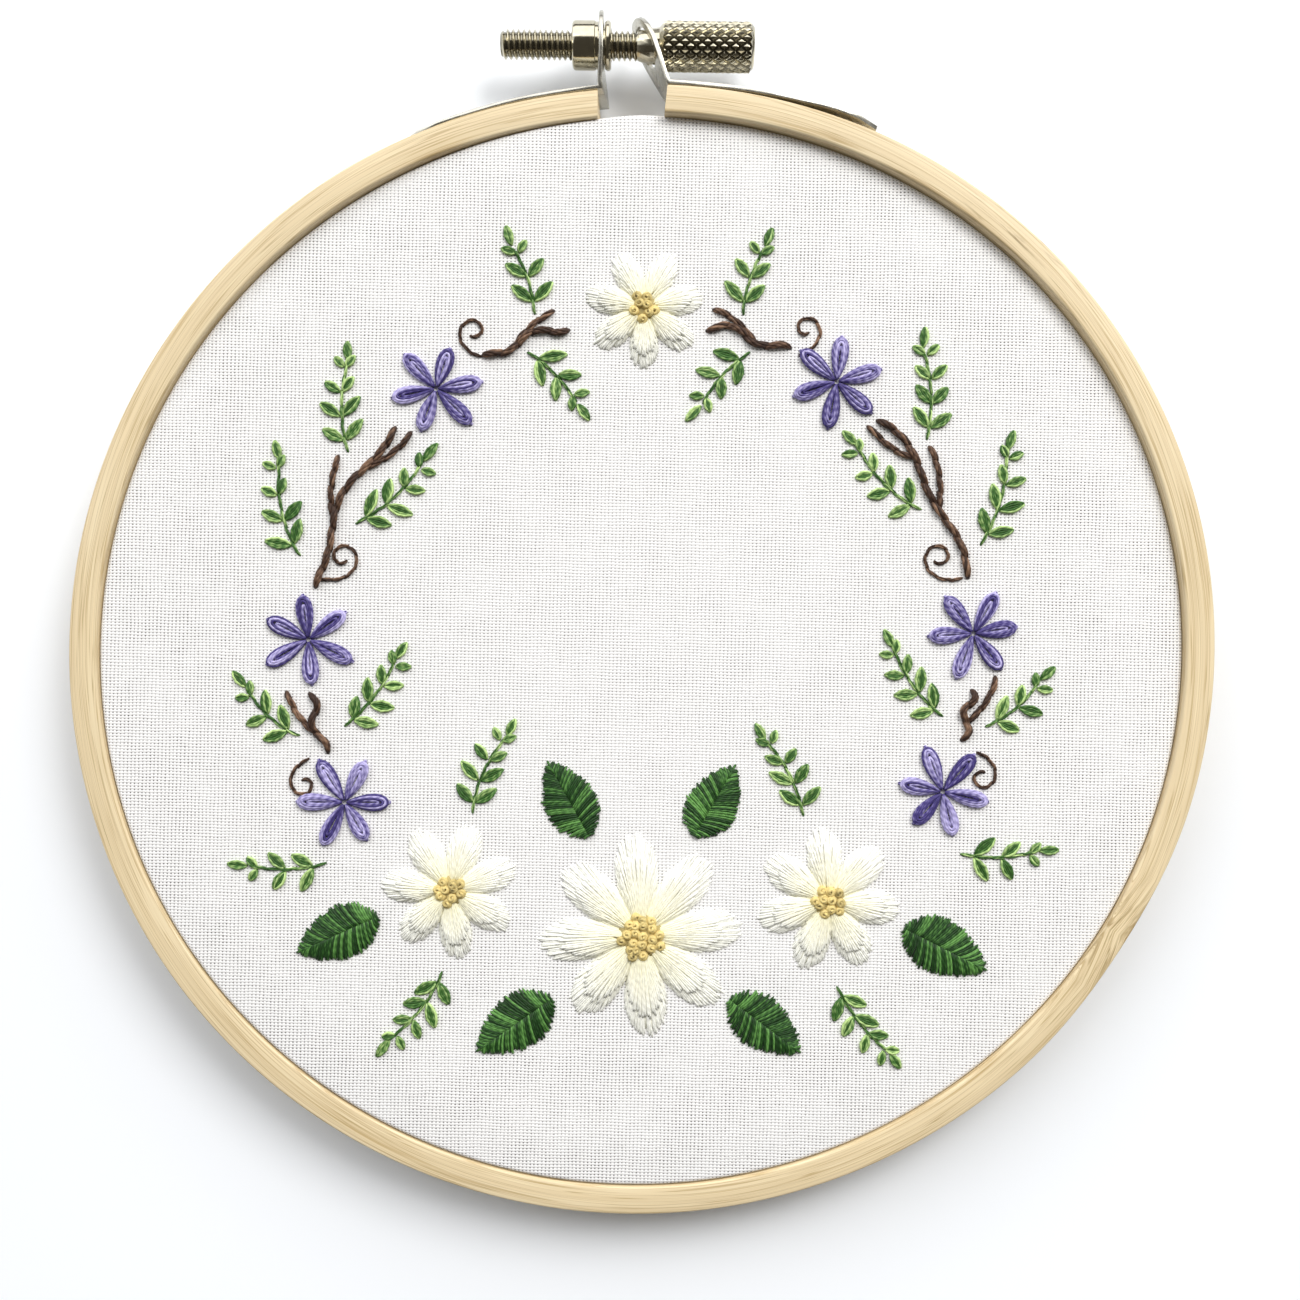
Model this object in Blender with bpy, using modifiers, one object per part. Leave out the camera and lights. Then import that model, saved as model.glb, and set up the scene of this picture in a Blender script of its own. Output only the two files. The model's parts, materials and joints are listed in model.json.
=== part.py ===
"""Embroidery worked on plain-weave cloth and held in a wooden screw hoop.

The hoop lies face up on a surface, on the flat edge of its inner ring.
+Z is the stitched face and +Y points to the clamp screw.
"""

from collections import namedtuple
from math import atan2, cos, exp, hypot, pi, radians, sin, sqrt

import bmesh
import bpy
from mathutils import Matrix, Vector

MM = 0.001

# Points nearer than this are merged
WELD = 0.005 * MM
SHARP_ANGLE = radians(35)

# Between neighbours, so that no two pieces share a face
GAP = 0.3 * MM

# Inner ring: a nominal 6 inch hoop is measured across it
INNER_RING_OUTER_R = 76.2 * MM
RING_WALL = 4.0 * MM
INNER_RING_HEIGHT = 8.0 * MM
EDGE_EASE = 0.4 * MM
RING_STEPS = 96

# Cloth, stretched over the inner ring and trimmed at the back
CLOTH_THICKNESS = 1.0 * MM
CLOTH_TOP = INNER_RING_HEIGHT + GAP + CLOTH_THICKNESS
SKIRT_BOTTOM = 1.0 * MM
SKIRT_OUTER_R = INNER_RING_OUTER_R + GAP + CLOTH_THICKNESS

# Outer ring, pushed on slightly askew: its face stands proud of the cloth
OUTER_RING_INNER_R = SKIRT_OUTER_R + 0.4 * MM
OUTER_RING_OUTER_R = OUTER_RING_INNER_R + RING_WALL
OUTER_RING_HEIGHT = 9.0 * MM
MEAN_STEP_DOWN = 0.95 * MM
STEP_DOWN_SWING = 0.95 * MM
DEEPEST_STEP_DIRECTION = radians(65)

# Its left arm is pressed further down, more and more towards the slot
ARM_DROP = 1.2 * MM
ARM_DROP_STARTS = radians(145)
ARM_DROP_ENDS = radians(95)

# The rings are drawn slightly oval, longest in this direction
OVAL = 0.0084
OVAL_DIRECTION = radians(16.5)

# The bamboo strip has a node at the lower right, pared flat on the outside
PARED_DEPTH = 0.5 * MM
PARED_DIRECTION = radians(-32)
PARED_SPREAD = radians(10)

# The slot between the outer ring's ends, in the hoop's own frame
LEFT_END_X = -6.2 * MM
RIGHT_END_OUTER_X = 3.95 * MM
RIGHT_END_INNER_X = 3.5 * MM

# Steel brackets: a strip along the rim, folded out into an ear
STEEL = 0.6 * MM
STRIP_WIDTH = 7.8 * MM
STRIP_R = OUTER_RING_OUTER_R + GAP + STEEL / 2
STRIP_STEPS = 10
STRIP_TIP_HALF_WIDTH = 1.3 * MM
STRIP_SHOULDER = 0.85
STRIP_LIFT_POWER = 2.2

# An ear's stations, as shares of the way from its fold out to its tip
EAR_FOLD_Y = 82.6 * MM
EAR_STATIONS = (0.0, 0.13, 0.37, 0.6, 0.77, 0.9, 0.97, 1.0)
EAR_TIP_SHARE = 0.2
EAR_HOLE_R = 2.95 * MM
EAR_BORE_DEPTH = 60 * MM
EAR_BORE_SIDES = 24

# The right strip springs off the rim at its tip; its ear leans over the screw and is turned a little
Bracket = namedtuple("Bracket", "name end fold lift base_x axis_x tip_y turn")
BRACKETS = (
    Bracket("bracket_left", end=115.3, fold=94.15, lift=0, base_x=-5.7, axis_x=-5.7, tip_y=93.4, turn=0),
    Bracket("bracket_right", end=66.2, fold=87.45, lift=1.1, base_x=3.6, axis_x=0.9, tip_y=92.9, turn=0.26),
)

# Clamp screw, on an axis that dips slightly to the right
SCREW_Y = 88.6 * MM
SCREW_DIP = radians(0.9)
SHANK_R = 2.08 * MM
SHANK_END_X = -20.45 * MM
SHANK_CHAMFER = 0.35 * MM
KNOB_R = 3.54 * MM
KNOB_START_X = 2.9 * MM
KNOB_END_X = 16.5 * MM
KNOB_SHOULDER_R = 2.9 * MM
KNOB_SHOULDER_LENGTH = 0.4 * MM
KNOB_CHAMFER = 0.35 * MM
KNOB_STEPS = 32
KNURL_ROWS = 18
KNURL_DEPTH = 0.28 * MM
RUNNING_GAP = 0.3 * MM

# Nut riveted in the left ear
NUT_EAR_X = BRACKETS[0].axis_x * MM
NUT_R = 3.4 * MM
NUT_NECK_R = 2.6 * MM
NUT_BARREL_LENGTH = 3.7 * MM
NUT_FLANGE_LENGTH = 0.75 * MM
NUT_EASE = 0.45 * MM
NUT_STEPS = 28
NUT_PLAY = 0.3 * MM

# Stitching stands on the cloth's face
STITCH_BASE = CLOTH_TOP + GAP
GARLAND_R = 48.0 * MM
STEM_R = 0.55 * MM
STEM_WAVER = 0.7 * MM
STEM_DEGREES_PER_STEP = 4
TWIG_R = 0.85 * STEM_R
TWIG_STEPS = 4
TWIG_BEND = -0.5

# Puts the box around the whole thing centrally over the origin
HOOP_CENTRE = Vector((0.0, -5.8 * MM, 0.0))

Finish = namedtuple("Finish", "name colour roughness metallic")
BAMBOO = Finish("pale bamboo", (0.72, 0.60, 0.40), 0.55, 0.0)
INNER_BAMBOO = Finish("inner bamboo", (0.66, 0.54, 0.36), 0.6, 0.0)
COTTON = Finish("unbleached plain-weave cotton", (0.83, 0.78, 0.74), 0.9, 0.0)
NICKEL = Finish("bright nickel plate", (0.66, 0.62, 0.55), 0.25, 1.0)
STRIP_STEEL = Finish("plated strip steel", (0.70, 0.69, 0.66), 0.3, 1.0)
WHITE_FLOSS = Finish("white cotton floss", (0.88, 0.87, 0.82), 0.7, 0.0)
YELLOW_FLOSS = Finish("straw yellow floss", (0.79, 0.62, 0.25), 0.7, 0.0)
VIOLET_FLOSS = Finish("violet floss", (0.23, 0.17, 0.53), 0.6, 0.0)
LEAF_FLOSS = Finish("leaf green floss", (0.03, 0.16, 0.04), 0.6, 0.0)
SPRIG_FLOSS = Finish("light green floss", (0.16, 0.34, 0.07), 0.6, 0.0)
BROWN_FLOSS = Finish("brown floss", (0.09, 0.04, 0.02), 0.6, 0.0)

# The garland, in millimetres and degrees from the hoop's centre
Daisy = namedtuple("Daisy", "x y radius petals turn height")
DAISIES = (
    Daisy(x=0, y=-41, radius=14.5, petals=8, turn=4, height=1.3),
    Daisy(x=-27.5, y=-34.5, radius=9.8, petals=7, turn=20, height=1.1),
    Daisy(x=27, y=-36, radius=10.4, petals=7, turn=-8, height=1.1),
    Daisy(x=0.5, y=49.5, radius=8.6, petals=7, turn=12, height=1.0),
)
Violet = namedtuple("Violet", "direction turn")
VIOLETS = (
    Violet(direction=128, turn=10),
    Violet(direction=178, turn=35),
    Violet(direction=207, turn=0),
    Violet(direction=54, turn=20),
    Violet(direction=3, turn=5),
    Violet(direction=335, turn=48),
)
Leaf = namedtuple("Leaf", "x y heading length width")
LEAVES = (
    Leaf(x=-12.7, y=-50.0, heading=215, length=13.5, width=8.0),
    Leaf(x=12.6, y=-50.1, heading=323, length=13.0, width=7.6),
    Leaf(x=-37.8, y=-38.2, heading=204, length=13.0, width=7.8),
    Leaf(x=37.8, y=-39.9, heading=333, length=13.5, width=8.2),
    Leaf(x=-7.4, y=-26.9, heading=119, length=12.5, width=7.6),
    Leaf(x=7.6, y=-26.9, heading=60, length=12.0, width=7.4),
)
Stem = namedtuple("Stem", "start end")
STEMS = (
    Stem(start=118.3, end=102.5),
    Stem(start=169.0, end=137.5),
    Stem(start=198.0, end=187.0),
    Stem(start=63.6, end=78.6),
    Stem(start=12.5, end=44.5),
    Stem(start=344.5, end=353.5),
)
Twig = namedtuple("Twig", "stem along lean length")
TWIGS = (
    Twig(stem=0, along=0.35, lean=38, length=8.0),
    Twig(stem=1, along=0.38, lean=36, length=9.5),
    Twig(stem=1, along=0.72, lean=-38, length=8.5),
    Twig(stem=2, along=0.30, lean=42, length=8.0),
    Twig(stem=3, along=0.40, lean=-40, length=8.0),
    Twig(stem=4, along=0.40, lean=-36, length=9.5),
    Twig(stem=4, along=0.70, lean=38, length=8.5),
    Twig(stem=5, along=0.35, lean=-42, length=8.0),
)
Sprig = namedtuple("Sprig", "x y heading length pairs curl")
SPRIGS = (
    Sprig(x=-16.5, y=43.3, heading=-32, length=11.0, pairs=3, curl=-14),
    Sprig(x=-15.4, y=48.5, heading=92, length=11.0, pairs=3, curl=16),
    Sprig(x=-49.2, y=13.6, heading=122, length=15.0, pairs=4, curl=-20),
    Sprig(x=-41.4, y=18.4, heading=24, length=14.0, pairs=4, curl=18),
    Sprig(x=-42.3, y=28.6, heading=106, length=14.0, pairs=4, curl=-16),
    Sprig(x=-43.0, y=-10.9, heading=36, length=13.0, pairs=4, curl=16),
    Sprig(x=-49.2, y=-12.3, heading=158, length=11.0, pairs=3, curl=-20),
    Sprig(x=-45.3, y=-30.6, heading=196, length=12.0, pairs=3, curl=-14),
    Sprig(x=-28.6, y=-46.2, heading=248, length=13.0, pairs=4, curl=-16),
    Sprig(x=-24.4, y=-23.6, heading=84, length=13.0, pairs=4, curl=-18),
    Sprig(x=15.9, y=43.2, heading=211, length=11.0, pairs=3, curl=16),
    Sprig(x=14.7, y=48.4, heading=86, length=11.0, pairs=3, curl=-14),
    Sprig(x=48.9, y=15.2, heading=56, length=15.0, pairs=4, curl=18),
    Sprig(x=40.6, y=20.3, heading=155, length=14.0, pairs=4, curl=-20),
    Sprig(x=41.2, y=30.4, heading=76, length=14.0, pairs=4, curl=16),
    Sprig(x=43.7, y=-9.6, heading=142, length=13.0, pairs=4, curl=-16),
    Sprig(x=49.6, y=-10.9, heading=20, length=11.0, pairs=3, curl=20),
    Sprig(x=46.0, y=-29.2, heading=-14, length=12.0, pairs=3, curl=16),
    Sprig(x=28.3, y=-48.3, heading=-66, length=13.0, pairs=4, curl=14),
    Sprig(x=23.4, y=-24.0, heading=98, length=13.0, pairs=4, curl=18),
)
VIOLET_RADIUS = 7.0 * MM
VIOLET_PETALS = 6
VIOLET_HEIGHT = 0.8 * MM
LEAF_HEIGHT = 0.8 * MM
SPRIG_HEIGHT = 0.7 * MM
SPRIG_STALK = 0.4 * MM
LEAFLET_REACH = 2.6 * MM
LEAFLET_SWEEP = 0.9
SPRIG_EDGE_SHARE = 0.45
COLUMNS_PER_PAIR = 4
CENTRE_SHARE = 0.24
CENTRE_HEIGHT = 1.1 * MM
CENTRE_SEGMENTS = 10
CENTRE_RINGS = 6
DAISY_WAIST = 1.5 * CENTRE_SHARE
VIOLET_WAIST = 0.3
DAISY_SAMPLES = 6
VIOLET_SAMPLES = 4
PETAL_ROUNDNESS = 0.6
LEAF_SAMPLES = 18
LEAF_FULLNESS = 0.28
LEAFLET_SWELL = 1.5
LEAFLET_LEAST = 0.55

# Each layer of a stitched pad: how much of its outline it covers, and its share of the height
PAD_LAYERS = ((0.97, 0.5), (0.62, 1.0))


def clear_scene():
    for old in list(bpy.data.objects):
        bpy.data.objects.remove(old, do_unlink=True)


def collection(name):
    made = bpy.data.collections.new(name)
    bpy.context.scene.collection.children.link(made)
    return made


def material(finish):
    found = bpy.data.materials.get(finish.name)
    if found:
        return found
    made = bpy.data.materials.new(finish.name)
    made.use_nodes = True
    shader = made.node_tree.nodes["Principled BSDF"]
    shader.inputs["Base Color"].default_value = (*finish.colour, 1.0)
    shader.inputs["Roughness"].default_value = finish.roughness
    shader.inputs["Metallic"].default_value = finish.metallic
    return made


def add_object(name, mesh, finish, parent, group):
    made = bpy.data.objects.new(name, mesh)
    group.objects.link(made)
    made.parent = parent
    if finish:
        mesh.materials.append(material(finish))
        mesh.shade_smooth()
        mesh.set_sharp_from_angle(angle=SHARP_ANGLE)
    return made


def cutter(name, mesh, parent, group):
    made = add_object(name, mesh, None, parent, group)
    made.hide_render = True
    made.display_type = "WIRE"
    return made


def add_empty(name, location, rotation, parent, group):
    made = bpy.data.objects.new(name, None)
    group.objects.link(made)
    made.parent = parent
    made.location = location
    made.rotation_euler = rotation
    return made


def mesh_of(name, bm):
    mesh = bpy.data.meshes.new(name)
    bmesh.ops.recalc_face_normals(bm, faces=bm.faces[:])
    bm.to_mesh(mesh)
    bm.free()
    return mesh


def realised(obj, name):
    """The object's mesh with its modifiers applied, doubles merged; the object is removed."""
    bpy.context.view_layer.update()
    graph = bpy.context.evaluated_depsgraph_get()
    made = bpy.data.meshes.new_from_object(obj.evaluated_get(graph))
    made.name = name
    bpy.data.objects.remove(obj, do_unlink=True)
    bm = bmesh.new()
    bm.from_mesh(made)
    bmesh.ops.remove_doubles(bm, verts=bm.verts[:], dist=WELD)
    bm.to_mesh(made)
    bm.free()
    return made


def turned(name, profile, steps, closed, group):
    """A profile of (radius, height) points, down its outer side, turned about Z."""
    bm = bmesh.new()
    points = [bm.verts.new((radius, 0.0, height)) for radius, height in profile]
    for above, below in zip(points, points[1:]):
        bm.edges.new((above, below))
    if closed:
        bm.edges.new((points[-1], points[0]))
    mesh = bpy.data.meshes.new(name)
    bm.to_mesh(mesh)
    bm.free()
    obj = bpy.data.objects.new(name, mesh)
    group.objects.link(obj)
    screw = obj.modifiers.new("turn", "SCREW")
    screw.angle = 2 * pi
    screw.steps = steps
    screw.render_steps = steps
    screw.use_merge_vertices = True
    screw.merge_threshold = WELD
    return realised(obj, name)


def boolean(obj, other, operation):
    step = obj.modifiers.new(other.name, "BOOLEAN")
    step.operation = operation
    step.object = other


def oval_matrix():
    turn = Matrix.Rotation(OVAL_DIRECTION, 4, "Z")
    stretch = Matrix.Diagonal((1 + OVAL, 1 - OVAL, 1.0, 1.0))
    return turn @ stretch @ turn.inverted()


def eased_wall(inner_r, outer_r, bottom, top):
    """The section of a ring: an upright wall with its four edges eased."""
    ease = EDGE_EASE
    return (
        (outer_r - ease, top),
        (outer_r, top - ease),
        (outer_r, bottom + ease),
        (outer_r - ease, bottom),
        (inner_r + ease, bottom),
        (inner_r, bottom + ease),
        (inner_r, top - ease),
        (inner_r + ease, top),
    )


def pare_node(mesh):
    """Flattens the outside of the outer ring where the bamboo's node was pared."""
    for vert in mesh.vertices:
        reach = hypot(vert.co.x, vert.co.y)
        if reach < (OUTER_RING_INNER_R + OUTER_RING_OUTER_R) / 2:
            continue
        off = atan2(vert.co.y, vert.co.x) - PARED_DIRECTION
        share = (reach - PARED_DEPTH * exp(-((off / PARED_SPREAD) ** 2))) / reach
        vert.co.x *= share
        vert.co.y *= share


def arm_drop(direction):
    """How far the outer ring's left arm is pressed down in a direction."""
    if not pi / 2 < direction < ARM_DROP_STARTS:
        return 0.0
    share = min(1.0, (ARM_DROP_STARTS - direction) / (ARM_DROP_STARTS - ARM_DROP_ENDS))
    return ARM_DROP * share**2 * (3 - 2 * share)


def prism(name, corners, bottom, top):
    """An upright block on a flat outline of (x, y) corners."""
    bm = bmesh.new()
    made = bmesh.ops.create_circle(bm, cap_ends=True, segments=len(corners), radius=1.0)
    for vert, (x, y) in zip(made["verts"], corners):
        vert.co = (x, y, bottom)
    raised = bmesh.ops.extrude_face_region(bm, geom=bm.faces[:], use_keep_orig=True)
    for item in raised["geom"]:
        if isinstance(item, bmesh.types.BMVert):
            item.co.z = top
    return mesh_of(name, bm)


def add_outer_ring(tilt, parts, cutters):
    section = eased_wall(OUTER_RING_INNER_R, OUTER_RING_OUTER_R, 0.0, OUTER_RING_HEIGHT)
    mesh = turned("outer_ring", section, RING_STEPS, True, parts)
    pare_node(mesh)
    mesh.transform(oval_matrix())
    for vert in mesh.vertices:
        vert.co.z -= arm_drop(atan2(vert.co.y, vert.co.x))
    ring = add_object("outer_ring", mesh, BAMBOO, tilt, parts)
    reach = 10 * MM
    slot = prism(
        "ring_slot",
        (
            (LEFT_END_X, OUTER_RING_INNER_R - reach),
            (RIGHT_END_INNER_X, OUTER_RING_INNER_R - reach),
            (RIGHT_END_INNER_X, OUTER_RING_INNER_R - 1 * MM),
            (RIGHT_END_OUTER_X, OUTER_RING_OUTER_R),
            (RIGHT_END_OUTER_X, OUTER_RING_OUTER_R + reach),
            (LEFT_END_X, OUTER_RING_OUTER_R + reach),
        ),
        -reach,
        OUTER_RING_HEIGHT + reach,
    )
    boolean(ring, cutter("ring_slot", slot, tilt, cutters), "DIFFERENCE")


def add_inner_ring(centre, parts):
    section = eased_wall(
        INNER_RING_OUTER_R - RING_WALL, INNER_RING_OUTER_R, 0.0, INNER_RING_HEIGHT
    )
    mesh = turned("inner_ring", section, RING_STEPS, True, parts)
    mesh.transform(oval_matrix())
    add_object("inner_ring", mesh, INNER_BAMBOO, centre, parts)


def add_cloth(centre, parts):
    """A taut disc that turns down over the inner ring, open at the back."""
    inner = SKIRT_OUTER_R - CLOTH_THICKNESS
    under = CLOTH_TOP - CLOTH_THICKNESS
    roll = 0.7 * CLOTH_THICKNESS
    section = (
        (0.0, CLOTH_TOP),
        (SKIRT_OUTER_R - CLOTH_THICKNESS, CLOTH_TOP),
        (SKIRT_OUTER_R - CLOTH_THICKNESS + roll, CLOTH_TOP - CLOTH_THICKNESS + roll),
        (SKIRT_OUTER_R, CLOTH_TOP - CLOTH_THICKNESS),
        (SKIRT_OUTER_R, SKIRT_BOTTOM),
        (inner, SKIRT_BOTTOM),
        (inner, under),
        (0.0, under),
    )
    mesh = turned("cloth", section, RING_STEPS, False, parts)
    mesh.transform(oval_matrix())
    add_object("cloth", mesh, COTTON, centre, parts)


def on_rim(direction, reach):
    """A point at this reach from the hoop's centre, drawn oval like the rings."""
    return oval_matrix() @ Vector((reach * cos(direction), reach * sin(direction), 0.0))


def strip_path(row):
    """The strip's centre line: along the rim from its tip, then out along the ear."""
    path = []
    for i in range(STRIP_STEPS + 1):
        share = i / STRIP_STEPS
        direction = radians(row.end + (row.fold - row.end) * share)
        raised = row.lift * MM * (1 - share) ** STRIP_LIFT_POWER
        path.append(on_rim(direction, STRIP_R + raised))
    lean = (row.axis_x - row.base_x) * MM / (SCREW_Y - EAR_FOLD_Y)
    for share in EAR_STATIONS:
        out = (row.tip_y * MM - EAR_FOLD_Y) * share
        path.append(Vector((row.base_x * MM + lean * out, EAR_FOLD_Y + out, 0.0)))
    return path


def folded_strip(row):
    """A steel strip on edge along its path, with rounded ends, its ear turned about the path."""
    path = strip_path(row)
    bm = bmesh.new()
    bmesh.ops.create_grid(bm, x_segments=len(path) - 1, y_segments=1, size=1.0)
    verts = sorted(bm.verts, key=lambda vert: (round(vert.co.x, 4), vert.co.y))
    half = STRIP_WIDTH / 2
    middle = OUTER_RING_HEIGHT / 2
    crown = row.tip_y * MM - half * sqrt(1 - EAR_TIP_SHARE**2)
    fold_y = path[STRIP_STEPS].y
    for i, point in enumerate(path):
        width = sqrt(half**2 - max(point.y - crown, 0.0) ** 2)
        if i == 0:
            width = STRIP_TIP_HALF_WIDTH
        if i == 1:
            width = STRIP_SHOULDER * half
        climb = min(max((point.y - fold_y) / (SCREW_Y - fold_y), 0.0), 1.0)
        drop = arm_drop(atan2(point.y, point.x)) * (1 - climb)
        for side, vert in zip((-1, 1), verts[2 * i : 2 * i + 2]):
            height = side * width
            vert.co = (point.x + row.turn * climb * height, point.y, middle + height - drop)
    return mesh_of(row.name, bm)


def add_brackets(tilt, screw_axis, parts, cutters):
    bore = bpy.data.meshes.new("ear_bore")
    bm = bmesh.new()
    bmesh.ops.create_cone(
        bm,
        cap_ends=True,
        segments=EAR_BORE_SIDES,
        radius1=EAR_HOLE_R,
        radius2=EAR_HOLE_R,
        depth=EAR_BORE_DEPTH,
    )
    bm.to_mesh(bore)
    bm.free()
    hole = cutter("ear_bore", bore, screw_axis, cutters)
    for row in BRACKETS:
        bracket = add_object(row.name, folded_strip(row), STRIP_STEEL, tilt, parts)
        skin = bracket.modifiers.new("steel", "SOLIDIFY")
        skin.thickness = STEEL
        skin.offset = 0.0
        skin.use_even_offset = True
        boolean(bracket, hole, "DIFFERENCE")


def along_screw(x):
    """The distance along the screw's axis of a place given by its x."""
    return x / cos(SCREW_DIP)


def add_nut(screw_axis, parts):
    """The barrel left of the ear, the neck through it and the flange spread behind it."""
    bore = SHANK_R + RUNNING_GAP
    ear_left = NUT_EAR_X - STEEL / 2 - NUT_PLAY
    ear_right = NUT_EAR_X + STEEL / 2 + NUT_PLAY
    left = along_screw(ear_left - NUT_BARREL_LENGTH)
    right = along_screw(ear_right + NUT_FLANGE_LENGTH)
    section = (
        (NUT_R - NUT_EASE / 2, right),
        (NUT_R, right - NUT_EASE / 2),
        (NUT_R, along_screw(ear_right)),
        (NUT_NECK_R, along_screw(ear_right)),
        (NUT_NECK_R, along_screw(ear_left)),
        (NUT_R, along_screw(ear_left)),
        (NUT_R, left + NUT_EASE),
        (NUT_R - NUT_EASE, left),
        (bore, left),
        (bore, right),
    )
    mesh = turned("clamp_nut", section, NUT_STEPS, True, parts)
    add_object("clamp_nut", mesh, NICKEL, screw_axis, parts)


def knurl(mesh, start, end):
    """Raises every second point of the knob's grip, so that it is cut in diamonds."""
    for vert in mesh.vertices:
        row = round((vert.co.z - start) / (end - start) * KNURL_ROWS)
        if not 0 < row < KNURL_ROWS:
            continue
        around = atan2(vert.co.y, vert.co.x) / (2 * pi) * KNOB_STEPS
        reach = hypot(vert.co.x, vert.co.y)
        if (round(around) + row) % 2:
            share = (reach - KNURL_DEPTH) / reach
            vert.co.x *= share
            vert.co.y *= share


def add_thumb_screw(screw_axis, parts):
    end = along_screw(KNOB_END_X)
    grip_end = end - KNOB_CHAMFER
    grip_start = along_screw(KNOB_START_X) + KNOB_SHOULDER_LENGTH
    tip = along_screw(SHANK_END_X)
    grip = [
        (KNOB_R, grip_end + (grip_start - grip_end) * row / KNURL_ROWS)
        for row in range(KNURL_ROWS + 1)
    ]
    profile = (
        [(0.0, end), (KNOB_R - KNOB_CHAMFER, end)]
        + grip
        + [
            (KNOB_SHOULDER_R, along_screw(KNOB_START_X)),
            (SHANK_R, along_screw(KNOB_START_X)),
            (SHANK_R, tip + SHANK_CHAMFER),
            (SHANK_R - SHANK_CHAMFER, tip),
            (0.0, tip),
        ]
    )
    mesh = turned("thumb_screw", profile, KNOB_STEPS, False, parts)
    knurl(mesh, grip_start, grip_end)
    add_object("thumb_screw", mesh, NICKEL, screw_axis, parts)


def polar(reach, direction):
    return Vector((reach * cos(direction), reach * sin(direction), 0.0))


def add_pad(name, outline, height, finish, place, centre, parts):
    """A low cushion of stitches on a flat outline, rounded off over its edge."""
    bm = bmesh.new()
    made = bmesh.ops.create_circle(bm, cap_ends=True, segments=len(outline), radius=1.0)
    for vert, point in zip(made["verts"], outline):
        vert.co = point
    underside = bm.faces[:]
    region = underside
    covered = 1.0
    for cover, rise in PAD_LAYERS:
        raised = bmesh.ops.extrude_face_region(bm, geom=region)["geom"]
        if region is not underside:
            bmesh.ops.delete(bm, geom=region, context="FACES_ONLY")
        region = [item for item in raised if isinstance(item, bmesh.types.BMFace)]
        for item in raised:
            if isinstance(item, bmesh.types.BMVert):
                item.co *= cover / covered
                item.co.z = height * rise
        covered = cover
    pad = add_object(name, mesh_of(name, bm), finish, centre, parts)
    pad.location = (place.x, place.y, STITCH_BASE)


def petal_outline(radius, petals, waist, turn, samples):
    """A flower's edge: round-ended petals that meet at a waist."""
    outline = []
    for i in range(petals * samples):
        around = 2 * pi * i / (petals * samples)
        bulge = abs(cos(around * petals / 2)) ** PETAL_ROUNDNESS
        outline.append(polar(waist + (radius - waist) * bulge, around + turn))
    return outline


def leaf_outline(length, width, heading, samples):
    """A leaf's edge: broadest before the middle, pointed at both ends."""
    outline = []
    for i in range(samples):
        around = 2 * pi * i / samples
        along = cos(around)
        across = sin(around) * (1 - LEAF_FULLNESS * along) * sqrt(abs(sin(around)))
        point = Vector((along * length / 2, across * width / 2, 0.0))
        outline.append(Matrix.Rotation(heading, 4, "Z") @ point)
    return outline


def add_daisies(centre, parts):
    for number, daisy in enumerate(DAISIES, 1):
        radius = daisy.radius * MM
        core = CENTRE_SHARE * radius
        place = Vector((daisy.x, daisy.y, 0.0)) * MM
        waist = DAISY_WAIST * radius
        outline = petal_outline(radius, daisy.petals, waist, radians(daisy.turn), DAISY_SAMPLES)
        add_pad(f"daisy_{number}", outline, daisy.height * MM, WHITE_FLOSS, place, centre, parts)
        bm = bmesh.new()
        bmesh.ops.create_uvsphere(
            bm, u_segments=CENTRE_SEGMENTS, v_segments=CENTRE_RINGS, radius=1.0
        )
        for vert in bm.verts:
            vert.co.x *= core
            vert.co.y *= core
            vert.co.z = max(vert.co.z, 0.0) * CENTRE_HEIGHT
        bmesh.ops.dissolve_degenerate(bm, dist=WELD, edges=bm.edges[:])
        name = f"daisy_centre_{number}"
        knots = add_object(name, mesh_of(name, bm), YELLOW_FLOSS, centre, parts)
        knots.location = (place.x, place.y, STITCH_BASE + daisy.height * MM + GAP)


def add_violets(centre, parts):
    for number, violet in enumerate(VIOLETS, 1):
        waist = VIOLET_WAIST * VIOLET_RADIUS
        turn = radians(violet.turn)
        outline = petal_outline(VIOLET_RADIUS, VIOLET_PETALS, waist, turn, VIOLET_SAMPLES)
        place = polar(GARLAND_R, radians(violet.direction))
        name = f"violet_{number}"
        add_pad(name, outline, VIOLET_HEIGHT, VIOLET_FLOSS, place, centre, parts)


def add_leaves(centre, parts):
    for number, leaf in enumerate(LEAVES, 1):
        heading = radians(leaf.heading)
        outline = leaf_outline(leaf.length * MM, leaf.width * MM, heading, LEAF_SAMPLES)
        place = Vector((leaf.x, leaf.y, 0.0)) * MM + polar(leaf.length * MM / 2, heading)
        add_pad(f"leaf_{number}", outline, LEAF_HEIGHT, LEAF_FLOSS, place, centre, parts)


def tube(name, points, radius, group):
    """A round cord through these points, with its ends closed."""
    curve = bpy.data.curves.new(name, "CURVE")
    curve.dimensions = "3D"
    curve.bevel_depth = radius
    curve.bevel_resolution = 1
    curve.use_fill_caps = True
    spline = curve.splines.new("POLY")
    spline.points.add(len(points) - 1)
    for target, point in zip(spline.points, points):
        target.co = (*point, 1.0)
    obj = bpy.data.objects.new(name, curve)
    group.objects.link(obj)
    return realised(obj, name)


def stem_point(stem, share):
    """A point on a stem that wavers a little about the garland's circle."""
    start, end = radians(stem.start), radians(stem.end)
    reach = GARLAND_R + STEM_WAVER * sin(3 * pi * share + start)
    return polar(reach, start + (end - start) * share)


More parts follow.
